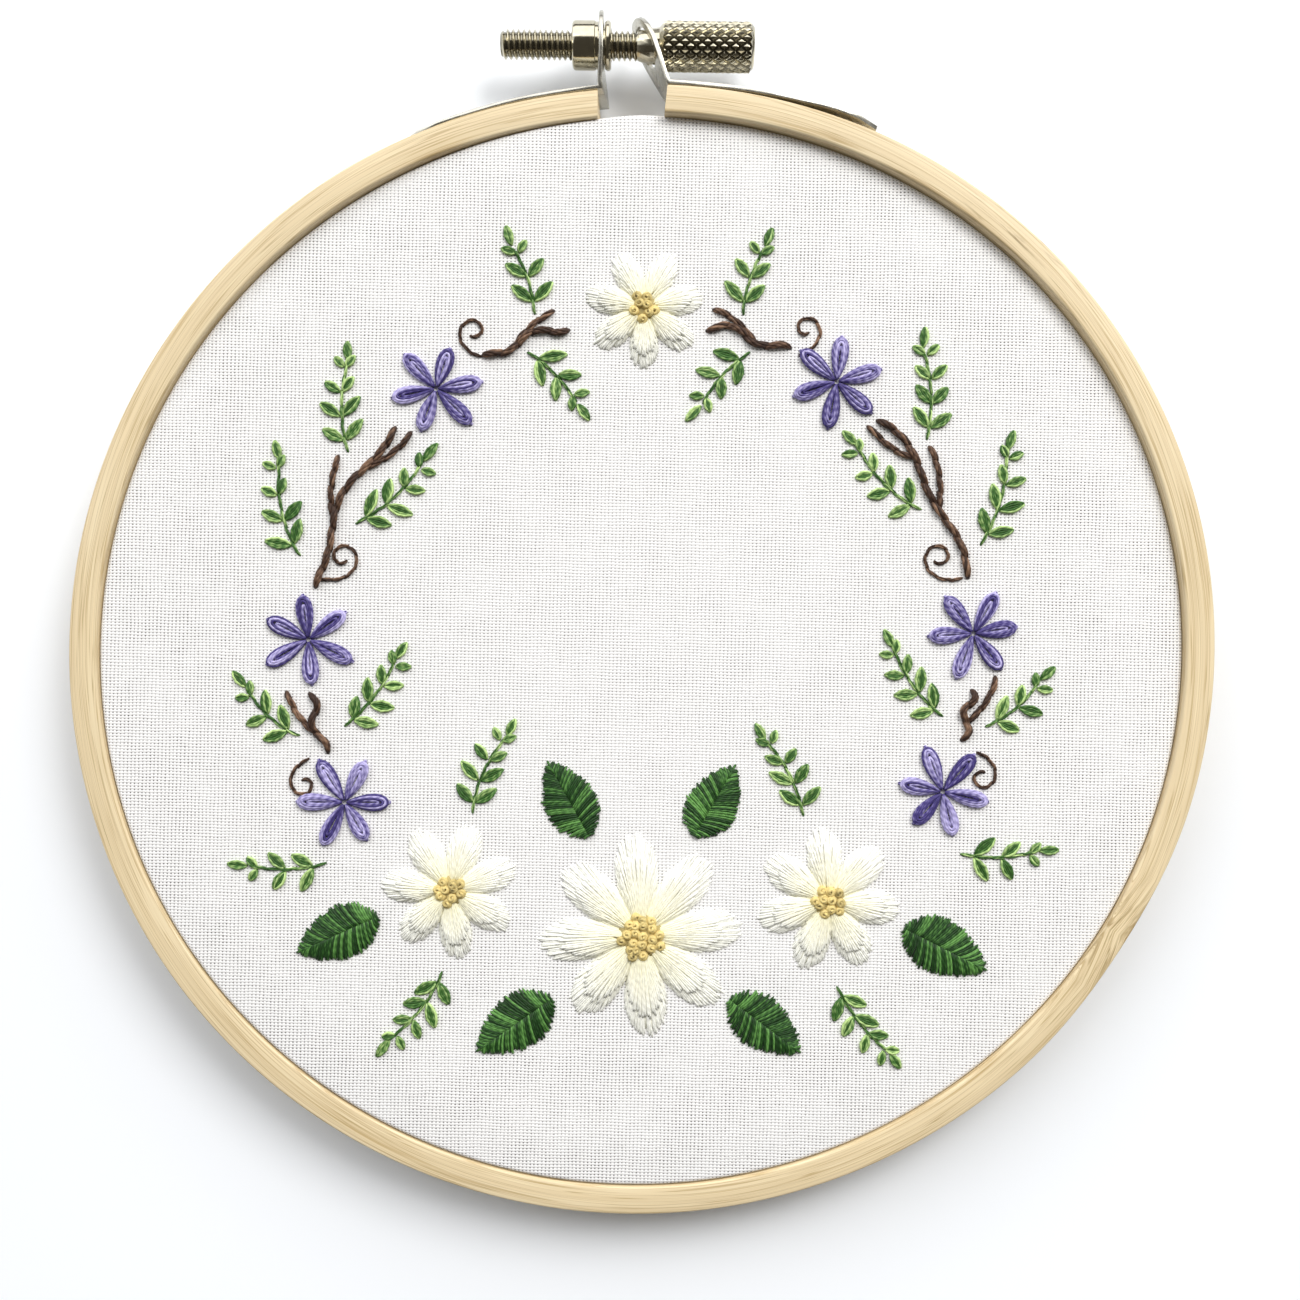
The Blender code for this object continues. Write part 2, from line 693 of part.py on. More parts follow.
def add_stems(centre, parts, cutters):
    lift = Vector((0.0, 0.0, STITCH_BASE + STEM_R))
    for number, stem in enumerate(STEMS, 1):
        name = f"stem_{number}"
        steps = max(4, round(abs(stem.end - stem.start) / STEM_DEGREES_PER_STEP))
        points = [stem_point(stem, i / steps) + lift for i in range(steps + 1)]
        mesh = tube(name, points, STEM_R, parts)
        main = add_object(name, mesh, BROWN_FLOSS, centre, parts)
        growth = 1 if stem.end > stem.start else -1
        for order, twig in enumerate(TWIGS):
            if twig.stem != number - 1:
                continue
            root = stem_point(stem, twig.along)
            tangent = atan2(root.y, root.x) + growth * pi / 2
            heading = tangent + radians(twig.lean)
            bend = radians(TWIG_BEND * twig.lean)
            points = []
            for i in range(TWIG_STEPS + 1):
                share = i / TWIG_STEPS
                points.append(root + lift + polar(twig.length * MM * share, heading + bend * share))
            label = f"twig_{order}"
            mesh = tube(label, points, TWIG_R, cutters)
            boolean(main, cutter(label, mesh, centre, cutters), "UNION")


def leaflet_reach(share, pairs):
    """How far a sprig's edge stands from its stalk: a leaflet at each swell."""
    swell = abs(sin(pi * pairs * share)) ** LEAFLET_SWELL
    taper = LEAFLET_LEAST + (1 - LEAFLET_LEAST) * sin(pi * min(1.0, 0.25 + share))
    return SPRIG_STALK + LEAFLET_REACH * swell * taper


def add_sprigs(centre, parts):
    """Light green sprigs: a stalk with leaflets in pairs swept towards its tip."""
    for number, sprig in enumerate(SPRIGS, 1):
        name = f"sprig_{number}"
        columns = COLUMNS_PER_PAIR * sprig.pairs + 1
        bm = bmesh.new()
        bmesh.ops.create_grid(bm, x_segments=columns - 1, y_segments=2, size=1.0)
        rows = sorted(bm.verts, key=lambda vert: (round(vert.co.x, 4), vert.co.y))
        spine = rows[1::3]
        for i in range(columns):
            share = i / (columns - 1)
            turn = radians(sprig.heading + sprig.curl * share)
            spot = polar(sprig.length * MM * share, turn)
            reach = leaflet_reach(share, sprig.pairs)
            swept = polar(LEAFLET_SWEEP * (reach - SPRIG_STALK), turn)
            aside = polar(reach, turn + pi / 2)
            rows[3 * i].co = spot + swept - aside
            rows[3 * i + 1].co = spot
            rows[3 * i + 2].co = spot + swept + aside
        crest = [vert.co.copy() for vert in spine]
        raised = bmesh.ops.extrude_face_region(bm, geom=bm.faces[:])["geom"]
        for item in raised:
            if isinstance(item, bmesh.types.BMVert):
                item.co.z = SPRIG_HEIGHT * (1.0 if item.co in crest else SPRIG_EDGE_SHARE)
        made = add_object(name, mesh_of(name, bm), SPRIG_FLOSS, centre, parts)
        made.location = (sprig.x * MM, sprig.y * MM, STITCH_BASE)


def build():
    clear_scene()
    parts = collection("hoop embroidery")
    cutters = collection("cutters")
    centre = add_empty("hoop_centre", HOOP_CENTRE, (0, 0, 0), None, parts)
    # The outer ring and its clamp sit askew: turned about a level line through the hoop's centre
    swing = STEP_DOWN_SWING / OUTER_RING_INNER_R
    level_line = (sin(DEEPEST_STEP_DIRECTION), -cos(DEEPEST_STEP_DIRECTION), 0.0)
    lean = Matrix.Rotation(swing, 3, level_line)
    base = CLOTH_TOP + MEAN_STEP_DOWN - OUTER_RING_HEIGHT
    tilt = add_empty("clamp_tilt", (0, 0, base), lean.to_euler(), centre, parts)
    screw_axis = add_empty(
        "screw_axis",
        (0, SCREW_Y, OUTER_RING_HEIGHT / 2),
        (0, pi / 2, -SCREW_DIP),
        tilt,
        parts,
    )
    add_inner_ring(centre, parts)
    add_outer_ring(tilt, parts, cutters)
    add_cloth(centre, parts)
    add_brackets(tilt, screw_axis, parts, cutters)
    add_nut(screw_axis, parts)
    add_thumb_screw(screw_axis, parts)
    add_daisies(centre, parts)
    add_violets(centre, parts)
    add_leaves(centre, parts)
    add_stems(centre, parts, cutters)
    add_sprigs(centre, parts)


build()
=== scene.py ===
"""Finishes the hoop embroidery: bamboo rings, plated clamp, woven cotton and stranded floss stitches."""

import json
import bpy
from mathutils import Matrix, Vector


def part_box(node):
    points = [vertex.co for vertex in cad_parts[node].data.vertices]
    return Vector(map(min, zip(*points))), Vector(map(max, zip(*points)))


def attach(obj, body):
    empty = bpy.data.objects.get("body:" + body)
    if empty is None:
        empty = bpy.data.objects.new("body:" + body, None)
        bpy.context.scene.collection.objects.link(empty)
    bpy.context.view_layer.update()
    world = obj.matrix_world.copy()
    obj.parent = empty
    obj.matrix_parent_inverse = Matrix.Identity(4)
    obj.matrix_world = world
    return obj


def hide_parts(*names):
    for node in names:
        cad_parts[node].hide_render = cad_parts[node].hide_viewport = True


bl_info = {
    "name": "Hoop Embroidery Finish",
    "version": (1, 0, 0),
    "blender": (4, 5, 0),
    "location": "View3D > Sidebar > Hoop Embroidery",
    "description": "Dresses a hoop embroidery frame with its wood, metal, cloth and stitching",
    "category": "Object",
}

from collections import namedtuple
from math import atan2, cos, exp, hypot, pi, radians, sin

import bmesh
import bpy
import numpy as np
from bpy.props import FloatProperty, FloatVectorProperty, IntProperty, PointerProperty
from mathutils import Matrix, Vector

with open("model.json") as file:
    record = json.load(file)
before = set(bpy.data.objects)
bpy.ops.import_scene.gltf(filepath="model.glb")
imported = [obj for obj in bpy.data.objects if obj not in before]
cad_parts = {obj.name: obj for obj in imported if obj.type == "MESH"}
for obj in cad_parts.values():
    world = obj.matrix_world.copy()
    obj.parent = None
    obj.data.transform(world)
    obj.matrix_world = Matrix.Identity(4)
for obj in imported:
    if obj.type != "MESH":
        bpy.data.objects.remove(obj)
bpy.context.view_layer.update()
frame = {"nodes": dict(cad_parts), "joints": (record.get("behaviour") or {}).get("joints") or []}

MM = 0.001

# The hoop's centre and levels, from the frame
INNER_LOW, INNER_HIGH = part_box("inner_ring")
CENTRE = Vector(((INNER_LOW.x + INNER_HIGH.x) / 2, (INNER_LOW.y + INNER_HIGH.y) / 2, 0.0))
INNER_HEIGHT = INNER_HIGH.z
CLOTH_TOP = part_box("cloth")[1].z
CLOTH_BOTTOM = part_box("cloth")[0].z
CLAMP = frame["joints"][0]

# Rings
INNER_RING_R = 76.2 * MM
RING_WALL = 4.0 * MM
CLOTH_THICKNESS = 1.0 * MM
SKIRT_R = 77.8 * MM
OUTER_RING_R = 81.9 * MM
OUTER_HEIGHT = 9.0 * MM
RING_STEPS = 240
OVAL = 0.0084
OVAL_DIRECTION = radians(16.5)

# The outer ring sits askew, its face highest above the cloth in this direction
MEAN_STEP_DOWN = 0.95 * MM
LEAN = 0.95 / 77.9
LEAN_DIRECTION = radians(65)

# Its left arm is pressed further down, more and more towards the slot
ARM_DROP = 1.2 * MM
ARM_DROP_STARTS = radians(126)
ARM_DROP_ENDS = radians(95)

# The slot between the outer ring's ends
LEFT_END_X = -6.2 * MM
RIGHT_END_INNER_X = 3.5 * MM
RIGHT_END_OUTER_X = 3.95 * MM
# Sections are spun clockwise, from just right of the slot round to its left side
SPIN_START = radians(88.5)
SPIN_SWEEP = radians(355)

# Bamboo nodes: one pared flat at the lower right, one pitted at the upper right
PARED_DIRECTION = radians(-32)
PARED_SPREAD = radians(10)
PARED_DEPTH = 0.5 * MM
NODE_DIRECTION = radians(-30.6)
PITTED_DIRECTION = radians(48)

# Clamp screw and nut, measured along the screw's axis from the middle of the slot
SHANK_TIP = -20.45 * MM
SHANK_R = 2.08 * MM
THREAD_PITCH = 0.794 * MM
KNOB_START = 2.8 * MM
KNOB_END = 16.5 * MM
KNOB_R = 3.54 * MM
# A plain tapered neck leads from the knob through the right ear to the thread
NECK_END = -0.6 * MM
NUT_R = 3.4 * MM
NUT_LEFT = -10.0 * MM
EAR_LEFT = -6.2 * MM
EAR_RIGHT = -5.2 * MM
NUT_RIGHT = -4.35 * MM
NUT_NECK_R = 2.6 * MM

# The garland, in millimetres and degrees from the hoop's centre
GARLAND_R = 48.0
CENTRE_SHARE = 0.24
Daisy = namedtuple("Daisy", "x y radius petals turn")
DAISIES = (
    Daisy(x=0, y=-41, radius=14.5, petals=8, turn=4),
    Daisy(x=-27.5, y=-34.5, radius=9.8, petals=7, turn=20),
    Daisy(x=27, y=-36, radius=10.4, petals=7, turn=-8),
    Daisy(x=0.5, y=49.5, radius=8.6, petals=7, turn=12),
)
Violet = namedtuple("Violet", "direction turn")
VIOLETS = (
    Violet(direction=128, turn=10),
    Violet(direction=178, turn=35),
    Violet(direction=207, turn=0),
    Violet(direction=54, turn=20),
    Violet(direction=3, turn=5),
    Violet(direction=335, turn=48),
)
VIOLET_RADIUS = 7.0
VIOLET_PETALS = 6
Leaf = namedtuple("Leaf", "x y heading length width")
LEAVES = (
    Leaf(x=-12.7, y=-50.0, heading=215, length=13.5, width=8.0),
    Leaf(x=12.6, y=-50.1, heading=323, length=13.0, width=7.6),
    Leaf(x=-37.8, y=-38.2, heading=204, length=13.0, width=7.8),
    Leaf(x=37.8, y=-39.9, heading=333, length=13.5, width=8.2),
    Leaf(x=-7.4, y=-26.9, heading=119, length=12.5, width=7.6),
    Leaf(x=7.6, y=-26.9, heading=60, length=12.0, width=7.4),
)
Stem = namedtuple("Stem", "start end")
STEMS = (
    Stem(start=118.3, end=102.5),
    Stem(start=169.0, end=137.5),
    Stem(start=198.0, end=187.0),
    Stem(start=63.6, end=78.6),
    Stem(start=12.5, end=44.5),
    Stem(start=344.5, end=353.5),
)
Twig = namedtuple("Twig", "stem along lean length")
TWIGS = (
    Twig(stem=0, along=0.35, lean=38, length=8.0),
    Twig(stem=1, along=0.38, lean=36, length=9.5),
    Twig(stem=1, along=0.72, lean=-38, length=8.5),
    Twig(stem=2, along=0.30, lean=42, length=8.0),
    Twig(stem=3, along=0.40, lean=-40, length=8.0),
    Twig(stem=4, along=0.40, lean=-36, length=9.5),
    Twig(stem=4, along=0.70, lean=38, length=8.5),
    Twig(stem=5, along=0.35, lean=-42, length=8.0),
)
Sprig = namedtuple("Sprig", "x y heading length pairs curl")
SPRIGS = (
    Sprig(x=-16.5, y=43.3, heading=-32, length=11.0, pairs=3, curl=-14),
    Sprig(x=-15.4, y=48.5, heading=92, length=11.0, pairs=3, curl=16),
    Sprig(x=-49.2, y=13.6, heading=122, length=15.0, pairs=4, curl=-20),
    Sprig(x=-41.4, y=18.4, heading=24, length=14.0, pairs=4, curl=18),
    Sprig(x=-42.3, y=28.6, heading=106, length=14.0, pairs=4, curl=-16),
    Sprig(x=-43.0, y=-10.9, heading=36, length=13.0, pairs=4, curl=16),
    Sprig(x=-49.2, y=-12.3, heading=158, length=11.0, pairs=3, curl=-20),
    Sprig(x=-45.3, y=-30.6, heading=196, length=12.0, pairs=3, curl=-14),
    Sprig(x=-28.6, y=-46.2, heading=248, length=13.0, pairs=4, curl=-16),
    Sprig(x=-24.4, y=-23.6, heading=84, length=13.0, pairs=4, curl=-18),
    Sprig(x=15.9, y=43.2, heading=211, length=11.0, pairs=3, curl=16),
    Sprig(x=14.7, y=48.4, heading=86, length=11.0, pairs=3, curl=-14),
    Sprig(x=48.9, y=15.2, heading=56, length=15.0, pairs=4, curl=18),
    Sprig(x=40.6, y=20.3, heading=155, length=14.0, pairs=4, curl=-20),
    Sprig(x=41.2, y=30.4, heading=76, length=14.0, pairs=4, curl=16),
    Sprig(x=43.7, y=-9.6, heading=142, length=13.0, pairs=4, curl=-16),
    Sprig(x=49.6, y=-10.9, heading=20, length=11.0, pairs=3, curl=20),
    Sprig(x=46.0, y=-29.2, heading=-14, length=12.0, pairs=3, curl=16),
    Sprig(x=28.3, y=-48.3, heading=-66, length=13.0, pairs=4, curl=14),
    Sprig(x=23.4, y=-24.0, heading=98, length=13.0, pairs=4, curl=18),
)

Tendril = namedtuple("Tendril", "x y heading length curl")
TENDRILS = (
    Tendril(x=-46.9, y=10.6, heading=-12, length=17.0, curl=430),
    Tendril(x=46.9, y=10.6, heading=192, length=17.0, curl=-430),
    Tendril(x=-47.6, y=-15.4, heading=205, length=13.0, curl=380),
    Tendril(x=48.2, y=-14.4, heading=-25, length=13.0, curl=-380),
    Tendril(x=-22.7, y=42.3, heading=160, length=14.0, curl=-390),
    Tendril(x=22.4, y=42.6, heading=20, length=14.0, curl=390),
)


def linear(code):
    """An sRGB hex colour, such as "#DCCAA4", as linear red, green and blue."""
    parts = [int(code[i : i + 2], 16) / 255 for i in (1, 3, 5)]
    return tuple(c / 12.92 if c <= 0.04045 else ((c + 0.055) / 1.055) ** 2.4 for c in parts)


def colour_setting(name, description, code):
    return FloatVectorProperty(
        name=name, description=description, default=linear(code), subtype="COLOR", size=3, min=0.0, max=1.0
    )


def length_setting(name, description, default):
    return FloatProperty(
        name=name, description=description, default=default, subtype="DISTANCE", unit="LENGTH", min=0.0, precision=5
    )


class WoodSettings(bpy.types.PropertyGroup):
    face: colour_setting("Face", "Bamboo as split, under its satin seal", "#E3CFA8")
    pale: colour_setting("Pale fibre", "The palest fibres", "#EEDDB8")
    dark: colour_setting("Dark fibre", "The darker fibre bundles", "#C2A672")
    ease: length_setting("Edge ease", "How far the ring's edges are rounded", 0.00035)


class MetalSettings(bpy.types.PropertyGroup):
    plate: colour_setting("Plate", "Nickel plate on the screw and nut", "#CDC6B0")
    strip: colour_setting("Strip", "Plated strip steel of the brackets", "#C4C1B6")
    thread_depth: length_setting("Thread depth", "From the thread's crest to its root", 0.00042)
    knurl_depth: length_setting("Knurl depth", "How far the diamonds stand proud", 0.0004)
    diamonds: IntProperty(name="Diamonds", description="Knurled diamonds around the knob", default=17, min=8)
    rows: IntProperty(name="Rows", description="Rows of diamonds along the knob", default=8, min=3)


class ClothSettings(bpy.types.PropertyGroup):
    warp: length_setting("Warp pitch", "From one upright thread to the next", 0.00055)
    weft: length_setting("Weft pitch", "From one cross thread to the next", 0.000445)
    yarn: colour_setting("Yarn", "Unbleached cotton in the light", "#F5F4F3")
    # Painted shade, seen through the small gaps in the weave
    gap: colour_setting("Gap", "The small gaps between the threads", "#544D4D")


class FlossSettings(bpy.types.PropertyGroup):
    strand: length_setting("Strand", "The width of one strand of floss", 0.00044)
    white: colour_setting("White", "Daisy petals", "#FEFEF6")
    cream: colour_setting("Cream", "The petals' tint towards the knots", "#F6F0C8")
    yellow: colour_setting("Yellow", "The knots at the daisies' centres", "#F0D990")
    violet: colour_setting("Violet", "Violet petals, mid tone", "#463B7E")
    violet_pale: colour_setting("Pale violet", "Violet petals, palest", "#C6BEEC")
    leaf: colour_setting("Leaf green", "Satin leaves, mid tone", "#1A4410")
    leaf_pale: colour_setting("Pale leaf green", "Satin leaves, palest", "#63984A")
    sprig: colour_setting("Sprig green", "Sprigs, darker length of the variegated floss", "#3C6A28")
    sprig_pale: colour_setting("Pale sprig green", "Sprigs, paler length of the floss", "#C2DF90")
    brown: colour_setting("Brown", "Stems, mid tone", "#40291B")
    brown_pale: colour_setting("Pale brown", "Stems, palest", "#8E6E56")


class StageSettings(bpy.types.PropertyGroup):
    floor: colour_setting("Floor", "The plain pale floor", "#F8FBFF")
    lens_height: length_setting("Camera height", "From the surface up to the camera", 0.2035)
    key: FloatProperty(name="Key light", description="Power of the main soft light", default=5.9, unit="POWER")
    windows: FloatProperty(name="Windows", description="Brightness of the studio's windows", default=2.1, min=0.0)


GROUPS = {
    "hoop_wood": WoodSettings,
    "hoop_metal": MetalSettings,
    "hoop_cloth": ClothSettings,
    "hoop_floss": FlossSettings,
    "hoop_stage": StageSettings,
}


def add(tree, kind, inputs=None, **settings):
    """Adds a node; an input's value is either a socket to link or a number or colour to set."""
    node = tree.nodes.new(kind)
    for key, value in settings.items():
        setattr(node, key, value)
    for key, value in (inputs or {}).items():
        if isinstance(value, bpy.types.NodeSocket):
            tree.links.new(value, node.inputs[key])
        else:
            node.inputs[key].default_value = value
    return node


def new_material(name, **sockets):
    """A material with a Principled shader; its constant values sit on the shader's own sockets."""
    made = bpy.data.materials.new(name)
    made.use_nodes = True
    tree = made.node_tree
    shader = tree.nodes["Principled BSDF"]
    for key, value in sockets.items():
        shader.inputs[key.replace("_", " ")].default_value = value
    return made, tree, shader


def ramp(node, stops):
    """Sets a colour ramp's stops, each a place and a linear colour."""
    elements = node.color_ramp.elements
    while len(elements) < len(stops):
        elements.new(0.5)
    for element, (place, colour) in zip(elements, stops):
        element.position = place
        element.color = (*colour, 1.0)


def toned(colour, factor):
    return tuple(min(1.0, c * factor) for c in colour)


def bamboo(settings):
    """Split bamboo, sanded and sealed: straight fibres run round the ring, with streaks and pits at its nodes."""
    made, tree, shader = new_material("split bamboo, satin seal", Roughness=0.46, IOR=1.5)
    where = add(tree, "ShaderNodeUVMap", uv_map="grain")
    apart = add(tree, "ShaderNodeSeparateXYZ", {0: where.outputs[0]})
    # At the pared node the fibres dip towards the ring's inner side, in a V
    off = add(
        tree, "ShaderNodeMath", {0: apart.outputs["X"], 1: ring_distance(NODE_DIRECTION)}, operation="SUBTRACT"
    )
    side = add(tree, "ShaderNodeMath", {0: off.outputs[0]}, operation="ABSOLUTE")
    dip = add(
        tree, "ShaderNodeMapRange",
        {"Value": side.outputs[0], "From Max": 0.009, "To Min": 0.0016, "To Max": 0.0},
    )
    dipped = add(tree, "ShaderNodeMath", {0: apart.outputs["Y"], 1: dip.outputs[0]}, operation="ADD")
    where = add(tree, "ShaderNodeCombineXYZ", {"X": apart.outputs["X"], "Y": dipped.outputs[0]})
    # Fibre bundles about 0.3 mm apart, and shallow bands about 1 mm wide
    fine = add(tree, "ShaderNodeVectorMath", {0: where.outputs[0], 1: (45.0, 3400.0, 1.0)}, operation="MULTIPLY")
    fibres = add(tree, "ShaderNodeTexNoise", {"Vector": fine.outputs[0], "Scale": 1.0, "Detail": 3.0, "Roughness": 0.6})
    broad = add(tree, "ShaderNodeVectorMath", {0: where.outputs[0], 1: (22.0, 1000.0, 1.0)}, operation="MULTIPLY")
    bands = add(tree, "ShaderNodeTexNoise", {"Vector": broad.outputs[0], "Scale": 1.0, "Detail": 2.0})
    patch = add(tree, "ShaderNodeVectorMath", {0: where.outputs[0], 1: (60.0, 200.0, 1.0)}, operation="MULTIPLY")
    cloud = add(tree, "ShaderNodeTexNoise", {"Vector": patch.outputs[0], "Scale": 1.0, "Detail": 3.0})
    tone = add(tree, "ShaderNodeMath", {0: fibres.outputs["Fac"], 1: bands.outputs["Fac"]}, operation="ADD")
    level = add(tree, "ShaderNodeMapRange", {"Value": tone.outputs[0], "From Min": 0.62, "From Max": 1.36})
    colours = add(tree, "ShaderNodeValToRGB", {"Fac": level.outputs[0]})
    ramp(colours, [(0.0, settings.dark), (0.38, settings.face), (0.72, toned(settings.face, 1.04)), (1.0, settings.pale)])
    # Streaks about the pared node, 12 mm either way along the ring
    streak_scale = add(
        tree, "ShaderNodeVectorMath", {0: where.outputs[0], 1: (150.0, 1500.0, 1.0)}, operation="MULTIPLY"
    )
    streaks = add(
        tree, "ShaderNodeTexNoise",
        {"Vector": streak_scale.outputs[0], "Scale": 1.0, "Detail": 4.0, "Distortion": 0.6},
    )
    colour = colours.outputs["Color"]
    # Thin lines, 20 to 60 mm long, where a slow noise passes a level: dark ones, then pale ones
    drawn_out = add(tree, "ShaderNodeVectorMath", {0: where.outputs[0], 1: (15.0, 1500.0, 1.0)}, operation="MULTIPLY")
    grain = add(tree, "ShaderNodeTexNoise", {"Vector": drawn_out.outputs[0], "Scale": 1.0, "Detail": 2.0})
    for passes, width, tint in (
        (0.44, 0.03, toned(settings.dark, 0.9)), (0.56, 0.022, toned(settings.dark, 0.82)), (0.5, 0.03, settings.pale)
    ):
        off = add(tree, "ShaderNodeMath", {0: grain.outputs["Fac"], 1: passes}, operation="SUBTRACT")
        off = add(tree, "ShaderNodeMath", {0: off.outputs[0]}, operation="ABSOLUTE")
        line = add(tree, "ShaderNodeMapRange", {"Value": off.outputs[0], "From Max": width, "To Min": 0.75, "To Max": 0.0})
        mixed = add(tree, "ShaderNodeMix", {"Factor": line.outputs[0], "A": colour, "B": (*tint, 1.0)}, data_type="RGBA")
        colour = mixed.outputs["Result"]
    for direction, reach, shade, threshold in (
        (NODE_DIRECTION, 0.013, 0.72, 0.48),
        (PITTED_DIRECTION, 0.014, 0.55, 0.58),
    ):
        place = ring_distance(direction)
        off = add(tree, "ShaderNodeMath", {0: apart.outputs["X"], 1: place}, operation="SUBTRACT")
        near = add(
            tree, "ShaderNodeMapRange",
            {"Value": add(tree, "ShaderNodeMath", {0: off.outputs[0]}, operation="ABSOLUTE").outputs[0],
             "From Min": 0.0, "From Max": reach, "To Min": 1.0, "To Max": 0.0},
            interpolation_type="SMOOTHSTEP",
        )
        cut = add(
            tree, "ShaderNodeMapRange",
            {"Value": streaks.outputs["Fac"], "From Min": threshold, "From Max": threshold + 0.14},
        )
        mask = add(tree, "ShaderNodeMath", {0: near.outputs[0], 1: cut.outputs[0]}, operation="MULTIPLY")
        mixed = add(
            tree, "ShaderNodeMix",
            {"Factor": mask.outputs[0], "A": colour, "B": (*toned(settings.dark, shade), 1.0)},
            data_type="RGBA",
        )
        colour = mixed.outputs["Result"]
    clouded = add(tree, "ShaderNodeMapRange", {"Value": cloud.outputs["Fac"], "To Min": 0.93, "To Max": 1.05})
    final = add(
        tree, "ShaderNodeMix",
        {"Factor": 1.0, "A": colour, "B": clouded.outputs[0]}, data_type="RGBA", blend_type="MULTIPLY",
    )
    tree.links.new(final.outputs["Result"], shader.inputs["Base Color"])
    bump = add(tree, "ShaderNodeBump", {"Height": tone.outputs[0], "Strength": 0.25, "Distance": 0.0001})
    tree.links.new(bump.outputs[0], shader.inputs["Normal"])
    return made


def ring_distance(direction):
    """Distance along the ring's middle line, from the slot round to a direction."""
    return ((direction - pi / 2) % (2 * pi)) * (OUTER_RING_R - RING_WALL / 2)


